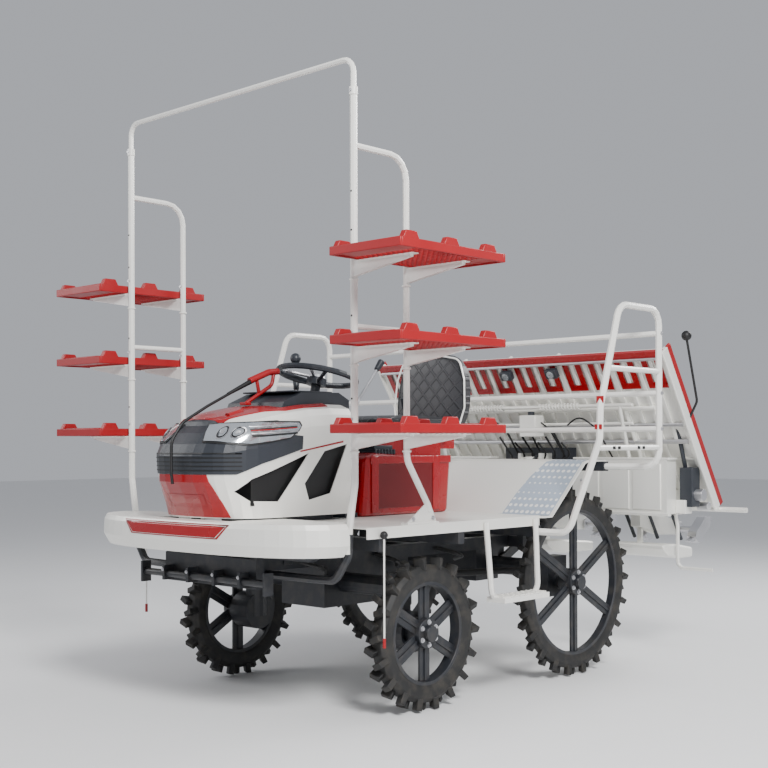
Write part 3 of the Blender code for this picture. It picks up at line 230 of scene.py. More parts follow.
# ---------------------------------------------------------------- finishes
def finish(name, colour, roughness, metallic=0.0, coat=0.0, mottle=0.10, grain=0.0, grain_size=350, dust=0.0):
    """A painted, moulded or metal surface with uneven colour and gloss, fine grain and settled dust."""
    if name in bpy.data.materials:
        return bpy.data.materials[name]
    made = bpy.data.materials.new(name)
    made.use_nodes = True
    nodes, links = made.node_tree.nodes, made.node_tree.links
    shader = nodes["Principled BSDF"]
    shader.inputs["Metallic"].default_value = metallic
    shader.inputs["Coat Weight"].default_value = coat
    shader.inputs["Coat Roughness"].default_value = 0.08
    place = nodes.new("ShaderNodeTexCoord")
    patches = nodes.new("ShaderNodeTexNoise")
    patches.inputs["Scale"].default_value = 7.0
    patches.inputs["Detail"].default_value = 6.0
    links.new(place.outputs["Object"], patches.inputs["Vector"])
    mix = nodes.new("ShaderNodeMix")
    mix.data_type = "RGBA"
    mix.inputs["A"].default_value = (*[channel * (1 - mottle) for channel in colour], 1)
    mix.inputs["B"].default_value = (*[min(1, channel * (1 + mottle * 0.5)) for channel in colour], 1)
    links.new(patches.outputs["Fac"], mix.inputs["Factor"])
    shade = mix.outputs["Result"]
    if dust:
        fine = nodes.new("ShaderNodeTexNoise")
        fine.inputs["Scale"].default_value = 22.0
        fine.inputs["Detail"].default_value = 8.0
        links.new(place.outputs["Object"], fine.inputs["Vector"])
        settle = nodes.new("ShaderNodeMapRange")
        settle.inputs["From Min"].default_value = 0.45
        settle.inputs["From Max"].default_value = 0.75
        settle.inputs["To Max"].default_value = dust
        links.new(fine.outputs["Fac"], settle.inputs["Value"])
        dusty = nodes.new("ShaderNodeMix")
        dusty.data_type = "RGBA"
        dusty.inputs["B"].default_value = (0.20, 0.165, 0.12, 1)
        links.new(settle.outputs["Result"], dusty.inputs["Factor"])
        links.new(shade, dusty.inputs["A"])
        shade = dusty.outputs["Result"]
    links.new(shade, shader.inputs["Base Color"])
    gloss = nodes.new("ShaderNodeMapRange")
    gloss.inputs["To Min"].default_value = max(0.03, roughness - 0.08)
    gloss.inputs["To Max"].default_value = min(1.0, roughness + 0.10)
    links.new(patches.outputs["Fac"], gloss.inputs["Value"])
    links.new(gloss.outputs["Result"], shader.inputs["Roughness"])
    if grain:
        rough = nodes.new("ShaderNodeTexNoise")
        rough.inputs["Scale"].default_value = grain_size
        links.new(place.outputs["Object"], rough.inputs["Vector"])
        bump = nodes.new("ShaderNodeBump")
        bump.inputs["Strength"].default_value = grain
        bump.inputs["Distance"].default_value = 0.001
        links.new(rough.outputs["Fac"], bump.inputs["Height"])
        links.new(bump.outputs["Normal"], shader.inputs["Normal"])
    return made


def studded(name, base, pitch, height, dots=None):
    """A copy of a finish with rows of round studs, raised or printed in another colour."""
    if name in bpy.data.materials:
        return bpy.data.materials[name]
    made = base.copy()
    made.name = name
    nodes, links = made.node_tree.nodes, made.node_tree.links
    shader = nodes["Principled BSDF"]
    place = nodes.new("ShaderNodeTexCoord")
    rows = nodes.new("ShaderNodeTexVoronoi")
    rows.inputs["Scale"].default_value = 1 / pitch
    rows.inputs["Randomness"].default_value = 0.0
    links.new(place.outputs["Object"], rows.inputs["Vector"])
    stud = nodes.new("ShaderNodeMapRange")
    stud.interpolation_type = "SMOOTHSTEP"
    stud.inputs["From Min"].default_value = 0.40
    stud.inputs["From Max"].default_value = 0.30
    links.new(rows.outputs["Distance"], stud.inputs["Value"])
    bump = nodes.new("ShaderNodeBump")
    bump.inputs["Distance"].default_value = height
    links.new(stud.outputs["Result"], bump.inputs["Height"])
    links.new(bump.outputs["Normal"], shader.inputs["Normal"])
    if dots:
        paint = nodes.new("ShaderNodeMix")
        paint.data_type = "RGBA"
        paint.inputs["B"].default_value = (*dots, 1)
        before = shader.inputs["Base Color"].links[0].from_socket
        links.new(before, paint.inputs["A"])
        links.new(stud.outputs["Result"], paint.inputs["Factor"])
        links.new(paint.outputs["Result"], shader.inputs["Base Color"])
    return made


def quilted(name, base):
    """Black vinyl embossed with a diagonal lattice."""
    if name in bpy.data.materials:
        return bpy.data.materials[name]
    made = base.copy()
    made.name = name
    nodes, links = made.node_tree.nodes, made.node_tree.links
    place = nodes.new("ShaderNodeTexCoord")
    heights = []
    for angle in (45, -45):
        turn = nodes.new("ShaderNodeMapping")
        turn.inputs["Rotation"].default_value = (0, math.radians(angle), 0)
        wave = nodes.new("ShaderNodeTexWave")
        wave.inputs["Scale"].default_value = 5.5
        wave.bands_direction = "X"
        links.new(place.outputs["Object"], turn.inputs["Vector"])
        links.new(turn.outputs["Vector"], wave.inputs["Vector"])
        heights.append(wave.outputs["Fac"])
    meet = nodes.new("ShaderNodeMath")
    meet.operation = "MAXIMUM"
    links.new(heights[0], meet.inputs[0])
    links.new(heights[1], meet.inputs[1])
    groove = nodes.new("ShaderNodeMapRange")
    groove.interpolation_type = "SMOOTHSTEP"
    groove.inputs["From Min"].default_value = 0.86
    groove.inputs["From Max"].default_value = 0.98
    links.new(meet.outputs["Value"], groove.inputs["Value"])
    bump = nodes.new("ShaderNodeBump")
    bump.inputs["Distance"].default_value = 0.006
    links.new(groove.outputs["Result"], bump.inputs["Height"])
    links.new(bump.outputs["Normal"], nodes["Principled BSDF"].inputs["Normal"])
    return made


def looks():
    return bpy.context.scene.transplanter_looks


def ivory():
    return finish("ivory_paint", looks().ivory, 0.30, coat=0.35, mottle=0.05, grain=0.05)


def white():
    return finish("white_tube_paint", looks().white, 0.26, coat=0.3, mottle=0.05)


def red_gloss():
    return finish("red_gloss_paint", looks().red, 0.26, coat=0.25, mottle=0.06)


def red_plastic():
    return finish("red_moulding", looks().red, 0.42, mottle=0.12, grain=0.12, grain_size=500)


def dark():
    return finish("dark_moulding", looks().dark, 0.42, mottle=0.15, grain=0.25, grain_size=700)


def chassis_paint():
    return finish("chassis_black", (0.016, 0.018, 0.023), 0.42, mottle=0.25, grain=0.10, dust=0.12)


def rubber():
    return finish(
        "tyre_rubber", (0.012, 0.012, 0.012), 0.62, mottle=0.3, grain=0.35, grain_size=260, dust=0.14
    )


def steel():
    return finish("bright_steel", (0.62, 0.62, 0.62), 0.28, metallic=1.0, mottle=0.15, grain=0.05)


def vinyl():
    return finish("seat_vinyl", (0.022, 0.023, 0.027), 0.42, mottle=0.2, grain=0.3, grain_size=900)


def lamp_glass():
    return finish("lamp_lens", (0.62, 0.66, 0.70), 0.10, metallic=0.75, coat=1.0, mottle=0.45)


def black_hole():
    return finish("vent_black", (0.004, 0.004, 0.0045), 0.5, mottle=0.3)


# ---------------------------------------------------------------- settings
class TransplanterLooks(bpy.types.PropertyGroup):
    """Colours and sizes of the fine pieces."""

    red: bpy.props.FloatVectorProperty(
        name="Red", description="Trays, hood panel and pedestal", subtype="COLOR", default=(
            0.31, 0.0008, 0.004
        )
    )
    ivory: bpy.props.FloatVectorProperty(
        name="Ivory", description="Body panels", subtype="COLOR", default=(0.76, 0.735, 0.655)
    )
    white: bpy.props.FloatVectorProperty(
        name="White", description="Tubes of the racks and rails", subtype="COLOR", default=(0.80, 0.79, 0.75)
    )
    dark: bpy.props.FloatVectorProperty(
        name="Dark", description="Nose and dash mouldings", subtype="COLOR", default=(0.022, 0.026, 0.034)
    )
    front_lugs: bpy.props.IntProperty(
        name="Front lugs", description="Lugs on a front tyre", default=18, min=8
    )
    rear_lugs: bpy.props.IntProperty(name="Rear lugs", description="Lugs on a rear tyre", default=22, min=8)
    lug_height: bpy.props.FloatProperty(
        name="Lug height", description="How far a lug stands off its tyre", default=0.034, unit="LENGTH"
    )
    lattice: bpy.props.FloatProperty(
        name="Lattice pitch", description="Spacing of the bars in a tray floor", default=0.026, unit="LENGTH"
    )


# ---------------------------------------------------------------- operators
class TRANSPLANTER_OT_frame_finish(bpy.types.Operator):
    """Give every frame node its finish"""

    bl_idname = "transplanter.frame_finish"
    bl_label = "Frame finishes"

    def execute(self, context):
        by_slot = {
            "ivory_paint": ivory(), "white_tube": white(), "red_plastic": red_plastic(),
            "red_paint": red_gloss(), "dark_plastic": dark(), "chassis_paint": chassis_paint(),
            "rubber": rubber(), "bright_steel": steel(), "seat_vinyl": vinyl(),
        }
        for entry in frame["record"]["subparts"]:
            node = frame["nodes"][entry["node"]]
            node.data.materials.clear()
            node.data.materials.append(by_slot[entry["material_slot"]])
        tread = studded("deck_tread", ivory(), 0.022, 0.0020)
        deck = frame["nodes"]["floor_deck"].data.materials
        deck.clear()
        deck.append(tread)
        return {"FINISHED"}


class TRANSPLANTER_OT_wheels(bpy.types.Operator):
    """Model the lugged tyres, rims and hubs"""

    bl_idname = "transplanter.wheels"
    bl_label = "Wheels"

    def tyre(self, bm, centre, radius, width, lugs, rim):
        carcass = radius - looks().lug_height
        half = width / 2
        profile = (
            (-half * 0.55, rim), (-half * 0.80, rim + 0.018), (-half * 0.86, carcass - 0.020),
            (-half * 0.55, carcass), (half * 0.55, carcass), (half * 0.86, carcass - 0.020),
            (half * 0.80, rim + 0.018), (half * 0.55, rim),
        )
        add_ring(bm, profile, centre)
        for number in range(2 * lugs):
            side = 1 if number % 2 else -1
            turn = Matrix.Rotation(math.pi * number / lugs, 4, "X")
            slant = Matrix.Rotation(math.radians(24 * side), 4, "Z")
            inner, outer = sorted((-side * half * 0.12, side * half * 0.98))
            verts = add_block(
                bm, (inner, -0.013, carcass - 0.020), (outer, 0.013, radius - 0.001),
                Matrix.Translation(centre) @ turn @ slant,
            )
            axis_point = Vector(centre)
            for vert in verts:
                away = vert.co - axis_point
                away.x = 0
                if away.length > radius - 0.004:
                    vert.co -= away.normalized() * (away.length - radius + 0.0015)

    def wheel(self, node, sign, axle_y, lugs, radius, width, rim, spokes, spoke_w):
        centre = (sign * WHEEL_X, axle_y, radius)
        rubber_part = bmesh.new()
        self.tyre(rubber_part, centre, radius, width, lugs, rim)
        tread = piece(rubber_part, f"{node}_tyre", rubber(), node, facing=True, edge=0.003)
        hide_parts(node)
        bm = bmesh.new()
        add_ring(bm, ((-width * 0.30, rim - 0.012), (-width * 0.30, rim + 0.004), (width * 0.30, rim + 0.004),
                      (width * 0.30, rim - 0.012)), centre)
        middle = Vector(centre)
        add_rod(
            bm, middle - Vector((sign * 0.048, 0, 0)), middle + Vector((sign * 0.030, 0, 0)), 0.064, sides=28
        )
        add_rod(bm, middle, middle + Vector((sign * 0.052, 0, 0)), 0.034, sides=24)
        for number in range(spokes):
            turn = Matrix.Translation(centre) @ Matrix.Rotation(2 * math.pi * number / spokes, 4, "X")
            add_block(bm, (-0.006, -spoke_w / 2, 0.03), (0.006, spoke_w / 2, rim), turn)
            add_block(bm, (-0.012, -0.006, 0.05), (0.012, 0.006, rim - 0.004), turn)
        piece(bm, f"{node}_rim", chassis_paint(), node, facing=True, edge=0.002)
        bolts = bmesh.new()
        for number in range(HUB_BOLTS):
            angle = 2 * math.pi * (number + 0.5) / HUB_BOLTS
            spot = middle + Vector((sign * 0.030, 0.048 * math.cos(angle), 0.048 * math.sin(angle)))
            bolt(bolts, spot, (sign, 0, 0), 0.009)
        piece(bolts, f"{node}_bolts", steel(), node)

    def execute(self, context):
        for side, sign in SIDES:
            self.wheel(f"front_wheel_{side}", sign, FRONT_Y, looks().front_lugs, **FRONT_WHEEL)
            self.wheel(f"rear_wheel_{side}", sign, REAR_Y, looks().rear_lugs, **REAR_WHEEL)
        return {"FINISHED"}


class TRANSPLANTER_OT_trays(bpy.types.Operator):
    """Model the seedling trays with their lattice floors and lugs"""

    bl_idname = "transplanter.trays"
    bl_label = "Seedling trays"

    def execute(self, context):
        for side, sign in SIDES:
            for level in TRAY_LEVELS:
                node = f"seedling_tray_{side}_{level}"
                low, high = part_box(node)
                bm = bmesh.new()
                for y0, y1 in ((low.y, low.y + TRAY_WALL), (high.y - TRAY_WALL, high.y)):
                    add_block(bm, (low.x, y0, low.z), (high.x, y1, high.z - 0.006))
                for x0, x1 in ((low.x, low.x + TRAY_WALL), (high.x - TRAY_WALL, high.x)):
                    add_block(
                        bm, (x0, low.y + TRAY_WALL * 0.9, low.z),
                        (x1, high.y - TRAY_WALL * 0.9, high.z - 0.006)
                    )
                # solid end pads and the lattice between them
                for y0, y1 in ((low.y, low.y + TRAY_PAD), (high.y - TRAY_PAD, high.y)):
                    add_block(
                        bm, (low.x + 0.004, y0 + 0.004, low.z + 0.006),
                        (high.x - 0.004, y1 - 0.004, low.z + 0.014)
                    )
                    add_block(
                        bm, (low.x + 0.05, y0 + 0.02, high.z - 0.014),
                        (high.x - 0.05, y1 - 0.02, high.z - 0.002)
                    )
                pitch = looks().lattice
                count = int((high.x - low.x) / pitch)
                for k in range(1, count):
                    x = low.x + k * (high.x - low.x) / count
                    add_block(
                        bm, (x - 0.003, low.y + TRAY_PAD - 0.006, low.z + 0.004),
                        (x + 0.003, high.y - TRAY_PAD + 0.006, low.z + 0.012)
                    )
                count = int((high.y - low.y - 2 * TRAY_PAD) / pitch)
                for k in range(1, count):
                    y = low.y + TRAY_PAD + k * (high.y - low.y - 2 * TRAY_PAD) / count
                    add_block(
                        bm, (low.x + 0.004, y - 0.003, low.z + 0.0045),
                        (high.x - 0.004, y + 0.003, low.z + 0.0115)
                    )
                # raised lugs round the rim
                length = high.y - low.y
                outer_x = high.x if sign > 0 else low.x
                inner_x = low.x if sign > 0 else high.x
                for run in (0.10, 0.47, 0.84):
                    y = low.y + run * length
                    for edge_x, way in ((outer_x, -sign), (inner_x, sign)):
                        x0, x1 = sorted((edge_x, edge_x + way * 0.026))
                        verts = add_block(
                            bm, (x0, y - 0.045, high.z - 0.010), (x1, y + 0.045, high.z + 0.020)
                        )
                        for vert in verts:
                            if vert.co.z > high.z:
                                vert.co.y = y + (vert.co.y - y) * 0.62
                made = piece(bm, f"{node}_moulding", red_plastic(), "chassis", edge=0.003)
                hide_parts(node)
        return {"FINISHED"}


class TRANSPLANTER_OT_hood_trim(bpy.types.Operator):
    """Add the lamps, slats and stripes of the hood"""

    bl_idname = "transplanter.hood_trim"
    bl_label = "Hood trim"

    def execute(self, context):
        y = FRONT_Y
        lens = (
            (
                y - 0.850, 1.146
            ), (y - 0.850, 1.213), (y - 0.530, 1.213), (y - 0.419, 1.219), (y - 0.408, 1.198),
            (
                y - 0.426, 1.180
            ), (y - 0.471, 1.153), (y - 0.577, 1.137), (y - 0.667, 1.126), (y - 0.780, 1.134),
        )
        rim = [(u + (u - y + 0.60) * 0.045, v + (v - 1.172) * 0.16) for u, v in lens]
        bars = (
            (0.0112, 1.1915, 0.0080, black_hole()), (0.0120, 1.1900, 0.0035, red_gloss()),
            (
                0.0112, 1.1680, 0.0070, black_hole()
            ), (0.0120, 1.2060, 0.0030, steel()), (0.0120, 1.1770, 0.0050, steel()),
        )
        for side, sign in SIDES:
            inner = ((Vector((sign * 0.085, 0, 1.205)), Vector((sign * 0.878, 0, 0.479))),)
            rim_inner = ((Vector((sign * 0.078, 0, 1.205)), Vector((sign * 0.878, 0, 0.479))),)
            piece(
                laid_on("hood_shell", rim, "X", 0.0075, rim_inner), f"headlamp_rim_{side}", black_hole(),
                "hood", smooth=50
            )
            piece(
                laid_on("hood_shell", lens, "X", 0.0098, inner), f"headlamp_{side}", lamp_glass(), "hood",
                smooth=50
            )
            for number, (lift, z, deep, material) in enumerate(bars):
                outline = (
                    (y - 0.655, z - 0.016), (y - 0.655, z - 0.016 + deep), (y - 0.432, z + deep),
                    (y - 0.432, z)
                )
                outer = ((Vector((sign * 0.20, 0, 0)), Vector((sign, 0, 0))),)
                piece(
                    laid_on("hood_shell", outline, "X", lift, outer), f"headlamp_bar_{side}_{number}",
                    material, "hood"
                )
            for number, (x, z, size) in enumerate(((0.183, 1.168, 0.0270), (0.231, 1.168, 0.0235))):
                for ring, (share, material) in enumerate(
                    ((1.0, steel()), (0.84, black_hole()), (0.66, lamp_glass()), (0.30, steel()))
                ):
                    outline = [
                        (
                            sign * (x + size * 0.8 * share * math.cos(k * math.pi / 10)),
                            z + size * share * math.sin(k * math.pi / 10)
                        )
                        for k in range(20)
                    ]
                    ahead = ((Vector((0, y - 0.60, 0)), Vector((0, -1, 0))),)
                    bowl = laid_on("hood_shell", outline, "Y", 0.0110 + 0.0010 * ring, ahead)
                    piece(bowl, f"headlamp_bowl_{side}_{number}_{ring}", material, "hood")
            stripe = laid_on(
                "hood_shell", (
                    (y - 0.411, 1.092), (y - 0.411, 1.098), (y - 0.158, 1.140), (y - 0.158, 1.132)
                ),
                "X", 0.0012, ((Vector((sign * 0.2, 0, 0)), Vector((sign, 0, 0))),),
            )
            piece(stripe, f"hood_stripe_{side}", red_gloss(), "hood")
        # slats across the nose
        for number in range(5):
            z = 1.018 + number * 0.017
            outline = ((-0.26, z), (-0.26, z + 0.0045), (0.26, z + 0.0045), (0.26, z))
            slat = laid_on(
                "hood_nose", outline, "Y", 0.0022, ((Vector((0, y - 0.60, 0)), Vector((0, -1, 0))),)
            )
            piece(slat, f"nose_slat_{number}", black_hole(), "hood")
        # raised border of the lower panel's recess
        for number, (x0, z0, x1, z1) in enumerate(
            (
                (-0.12, 0.868, 0.12, 0.872), (-0.12, 0.918, 0.12, 0.922), (-0.12, 0.868, -0.116, 0.922),
                (0.116, 0.868, 0.12, 0.922)
            )
        ):
            border = laid_on("hood_grille", ((x0, z0), (x0, z1), (x1, z1), (x1, z0)), "Y", 0.0016,
                             ((Vector((0, y - 0.70, 0)), Vector((0, -1, 0))),))
            piece(border, f"grille_border_{number}", red_gloss(), "hood")
        # mesh behind the side openings
        bm = bmesh.new()
        for _, sign in SIDES:
            add_side_block(bm, sign, (0.262, y - 0.66, 0.875), (0.266, y - 0.12, 1.14))
        piece(bm, "hood_vent_screens", black_hole(), "hood")
        # scoop on the red panel
        scoop = bmesh.new()
        add_rod(scoop, (0.10, y - 0.640, 1.236), (0.10, y - 0.560, 1.272), 0.020, sides=20, end_radius=0.004)
        piece(scoop, "hood_scoop", red_gloss(), "hood")
        return {"FINISHED"}


class TRANSPLANTER_OT_marker(bpy.types.Operator):
    """Model the sight rod and its red handle"""

    bl_idname = "transplanter.marker"
    bl_label = "Sight rod"

    def execute(self, context):
        y = FRONT_Y
        bm = bmesh.new()
        path = rounded(
            ((0, y - 0.420, 1.402), (0, y - 0.67, 1.285), (0, y - 0.80, 1.215), (0, y - 0.855, 1.140),
             (0, y - 0.857, 1.010), (0, y - 0.850, 0.965)), 0.07, 5)
        add_bent_rod(bm, path, 0.0062, sides=12)
        add_rod(bm, (0, y - 0.40, 1.411), (0, y - 0.56, 1.338), 0.012, sides=16, end_radius=0.007)
        rod = piece(bm, "sight_rod", black_hole(), "hood", facing=True)
        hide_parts("centre_marker")
        bm = bmesh.new()
        add_bent_rod(
            bm, rounded(((0, y - 0.275, 1.446), (0, y - 0.33, 1.440), (0, y - 0.44, 1.398)), 0.05), 0.0145, 14
        )
        add_bent_rod(
            bm, rounded(((0, y - 0.30, 1.438), (0, y - 0.31, 1.385), (0, y - 0.462, 1.300)), 0.04), 0.0085, 12
        )
        add_rod(bm, (0, y - 0.40, 1.412), (0, y - 0.385, 1.345), 0.008)
        add_block(bm, (-0.02, y - 0.478, 1.2935), (0.02, y - 0.446, 1.306))
        piece(bm, "sight_handle", red_plastic(), "hood", facing=True, edge=0.002)
        return {"FINISHED"}


class TRANSPLANTER_OT_body_trim(bpy.types.Operator):
    """Add the badge field, grip zones, pedestal panels and edge strips"""

    bl_idname = "transplanter.body_trim"
    bl_label = "Body trim"

    def execute(self, context):
        y = FRONT_Y
        ahead = ((Vector((0, y - 0.66, 0)), Vector((0, -1, 0))),)
        fields = (
            (0.0012, 0.345, 0.285, 0.8110, 0.7530, red_gloss()),
            (0.0020, 0.333, 0.276, 0.8065, 0.7572, white()),
            (0.0028, 0.329, 0.273, 0.8042, 0.7592, red_gloss()),
        )
        for number, (lift, top, bottom, high, low, material) in enumerate(fields):
            bm = laid_on(
                "front_apron", ((-bottom, low), (bottom, low), (top, high), (-top, high)), "Y", lift, ahead
            )
            piece(bm, f"apron_shield_{number}", material, "chassis")
        grip = studded(
            "grip_zone", finish(
                "grip_grey", (0.36, 0.42, 0.50), 0.5, mottle=0.06
            ), 0.030, 0.0015, (0.80, 0.80, 0.77)
        )
        for side, sign in SIDES:
            outline = [(sign * u, v) for u, v in (
                (0.765, y + 0.66), (0.765, y + 1.02), (0.610, y + 1.02), (0.560, y + 0.96), (0.520, y + 0.88),
                (0.500, y + 0.79), (0.492, y + 0.66))]
            bm = laid_on("rear_deck", outline, "Z", 0.0012)
            piece(bm, f"grip_zone_{side}", grip, "chassis")
            # the side inset is a darker copy of the red: painted shade standing in for the recess
            shade = finish("pedestal_shade", [0.45 * channel for channel in looks().red], 0.34, mottle=0.10)
            inner, outer = sorted((sign * 0.2505, sign * 0.2535))
            inset = bmesh.new()
            add_block(inset, (inner, y + 0.07, 0.835), (outer, y + 0.47, 1.050))
            piece(inset, f"pedestal_inset_{side}", shade, "chassis", edge=0.0014)
            raised = bmesh.new()
            for run, low_z, high_z in ((0.055, 0.815, 1.070), (0.470, 0.815, 1.070)):
                add_block(
                    raised, (inner, y + run, low_z),
                    (outer + 0.004 if sign > 0 else outer, y + run + 0.045, high_z)
                )
            add_block(
                raised, (inner, y + 0.05, 1.035), (outer + 0.003 if sign > 0 else outer, y + 0.60, 1.070)
            )
            piece(raised, f"pedestal_border_{side}", red_gloss(), "chassis", edge=0.003)
            # dark covers on the pedestal's shoulders
            cover = bmesh.new()
            inner, outer = sorted((sign * 0.060, sign * 0.236))
            for number in range(7):
                run = y + 0.10 + number * 0.020
                add_block(cover, (inner, run, 1.078), (outer, run + 0.012, 1.100))
            add_block(cover, (inner + 0.004, y + 0.095, 1.070), (outer - 0.004, y + 0.235, 1.091))
            piece(cover, f"pedestal_ribs_{side}", dark(), "chassis", edge=0.002)
        return {"FINISHED"}


class TRANSPLANTER_OT_seat(bpy.types.Operator):
    """Model the padded cushion and backrest with their piping"""

    bl_idname = "transplanter.seat"
    bl_label = "Seat"

    def pad(self, node, crown, axis, corner):
        low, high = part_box(node)
        bm = bmesh.new()
        add_block(bm, low, high)
        bmesh.ops.subdivide_edges(bm, edges=bm.edges, cuts=9, use_grid_fill=True)
        middle, half = (low + high) / 2, (high - low) / 2
        wide, deep = [k for k in range(3) if k != axis]
        for vert in bm.verts:
            local = [(vert.co[k] - middle[k]) / half[k] for k in range(3)]
            reach = max(abs(local[wide]), abs(local[deep]), 0.001)
            bend = (abs(local[wide]) ** corner + abs(local[deep]) ** corner) ** (1 / corner)
            for k in (wide, deep):
                local[k] *= reach / bend
            away = min(1.0, reach)
            local[axis] *= 1 - 0.45 * away**5 - crown * (1 - away**2)
            for k in range(3):
                vert.co[k] = middle[k] + half[k] * local[k]
        return bm, low, high

    def execute(self, context):
        quilt = quilted("seat_quilting", vinyl())
        for node, axis, corner in (("seat_cushion", 2, 4.5), ("seat_back", 1, 3.0)):
            bm, low, high = self.pad(node, 0.10, axis, corner)
            if node == "seat_back":
                foot = Vector((0, low.y, low.z))
                for vert in bm.verts:
                    rise = (vert.co.z - foot.z) / (high.z - foot.z)
                    depth = (vert.co.y - low.y) / (high.y - low.y)
                    vert.co.y = low.y + 0.042 * rise + depth * (high.y - low.y - 0.042)
                    vert.co.x *= 1 - 0.16 * rise**3
            made = piece(bm, f"{node}_pad", quilt, "chassis", facing=True, smooth=80)
            smooth = made.modifiers.new("soften", "SUBSURF")
            smooth.levels = 2
            smooth.render_levels = 2
            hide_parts(node)
        low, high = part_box("seat_back")
        piping = bmesh.new()
        side_path = [
            (-0.20, low.y + 0.006, low.z + 0.03), (-0.232, low.y + 0.02, low.z + 0.14),
            (-0.222, low.y + 0.030, low.z + 0.28), (-0.185, low.y + 0.038, high.z - 0.035),
            (0.0, low.y + 0.040, high.z - 0.004), (0.185, low.y + 0.038, high.z - 0.035),
            (
                0.222, low.y + 0.030, low.z + 0.28
            ), (0.232, low.y + 0.02, low.z + 0.14), (0.20, low.y + 0.006, low.z + 0.03),
        ]
        add_bent_rod(piping, rounded(side_path, 0.06, 4), 0.0045, 8)
        piece(piping, "seat_piping", white(), "chassis", facing=True)
        return {"FINISHED"}


class TRANSPLANTER_OT_controls(bpy.types.Operator):
    """Add the steering wheel's trim, the levers and the dash pads"""

    bl_idname = "transplanter.controls"
    bl_label = "Controls"

    def execute(self, context):
        y = FRONT_Y
        joint = next(entry for entry in frame["joints"] if entry["name"] == "steering_column")
        top = Vector(joint["pos_m"])
        axis = Vector(joint["axis"]).normalized()
        bm = bmesh.new()
        place = Matrix.Translation(top) @ Matrix.Rotation(-math.atan2(axis.y, axis.z), 4, "X")
        for angle in (-35, 35):
            out = Vector((math.sin(math.radians(angle)), -math.cos(math.radians(angle)), 0))
            side = Vector((out.y, -out.x, 0)) * 0.010
            add_rod(
                bm, place @ (out * 0.02 + side - Vector((0, 0, 0.006))),
                place @ (out * 0.150 - Vector((0, 0, 0.004))), 0.0085
            )
        add_rod(
            bm, place @ Vector((0, 0, -0.012)), place @ Vector((0, 0, 0.004)), 0.040, sides=28,
            end_radius=0.034
        )
        piece(bm, "steering_spokes", steel(), "steering_wheel", edge=0.002)
        bm = bmesh.new()
        knob = place @ Vector((0.02, -0.165, 0.035))
        bmesh.ops.create_uvsphere(
            bm, u_segments=20, v_segments=12, radius=0.024, matrix=Matrix.Translation(knob)
        )
        add_rod(bm, place @ Vector((0.02, -0.172, 0.0)), knob, 0.008)
        piece(bm, "steering_knob", dark(), "steering_wheel")
        bm = bmesh.new()
        levers = (
            ((0.150, y + 0.02, 1.215), (0.150, y + 0.086, 1.334), (0.150, y + 0.210, 1.480)),
            ((-0.200, y - 0.01, 1.210), (-0.215, y + 0.03, 1.300), (-0.235, y + 0.05, 1.400)),
            ((0.215, y + 0.30, 1.060), (0.262, y + 0.30, 1.120), (0.268, y + 0.26, 1.300)),
        )
        for path in levers:
            add_bent_rod(bm, rounded(path, 0.05), 0.006, 10)
        piece(bm, "lever_rods", steel(), "chassis", facing=True)
        bm = bmesh.new()
        for path in levers:
            start, end = Vector(path[-2]), Vector(path[-1])
            way = (end - start).normalized()
            add_rod(bm, end - way * 0.02, end + way * 0.035, 0.013, sides=16, end_radius=0.017)
        add_block(bm, (-0.165, y - 0.34, 1.349), (0.165, y - 0.10, 1.3565))
        add_block(bm, (-0.20, y - 0.02, 1.16), (0.22, y + 0.06, 1.215))
        add_block(bm, (-0.225, y + 0.105, 1.095), (0.225, y + 0.225, 1.118))
        piece(bm, "lever_grips", dark(), "chassis", edge=0.004)
        return {"FINISHED"}


class TRANSPLANTER_OT_rack_fittings(bpy.types.Operator):
    """Add collars, bolts and gusset fixings to the racks and rails"""

    bl_idname = "transplanter.rack_fittings"
    bl_label = "Rack fittings"

    def execute(self, context):
        arch_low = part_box("arch_bar")[0]
        bolts, collars, brackets, holes = (bmesh.new() for _ in range(4))
        for side, sign in SIDES:
            x = sign * POST_X
            add_rod(
                collars, (x, POST_FRONT_Y, arch_low.z - 0.028), (x, POST_FRONT_Y, arch_low.z + 0.003), 0.0172,
                20
            )
            bolt(bolts, (x, POST_FRONT_Y - 0.016, arch_low.z - 0.012), (0, -1, 0), 0.006)
            for level in TRAY_LEVELS:
                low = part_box(f"seedling_tray_{side}_{level}")[0]
                for y in (POST_FRONT_Y, POST_REAR_Y):
                    bolt(bolts, (x, y - 0.0145, low.z + 0.055), (0, -1, 0), 0.006)
                    add_rod(collars, (x, y, low.z - 0.075), (x, y, low.z - 0.068), 0.0185, 18)
                    inner, outer = sorted((x + sign * 0.03, x + sign * 0.32))
                    add_block(
                        brackets, (inner, y - 0.0165, low.z - 0.006), (outer, y + 0.0165, low.z - 0.0012)
                    )
            for step in (1.30, 1.62, 1.95, 2.10):
                add_rod(holes, (x, POST_FRONT_Y - 0.0148, step), (x, POST_FRONT_Y - 0.0138, step), 0.0042)
            # bracket at the front post's foot
            foot = x - sign * 0.031
            inner, outer = sorted((foot - sign * 0.002, foot + sign * 0.024))
            add_block(brackets, (inner, POST_FRONT_Y - 0.034, 0.700), (outer, POST_FRONT_Y - 0.019, 0.772))
            for z in (0.715, 0.755):
                bolt(bolts, (foot + sign * 0.010, POST_FRONT_Y - 0.034, z), (0, -1, 0), 0.008)
            for y in (POST_REAR_Y + 0.02, POST_REAR_Y + 0.14):
                bolt(bolts, (x + sign * 0.016, y, 0.822), (sign, 0, 0), 0.0075)
        piece(bolts, "rack_bolts", steel(), "chassis")
        piece(collars, "rack_collars", white(), "chassis", edge=0.001)
        piece(brackets, "rack_brackets", ivory(), "chassis", edge=0.001)
        piece(holes, "rack_holes", black_hole(), "chassis")
        return {"FINISHED"}


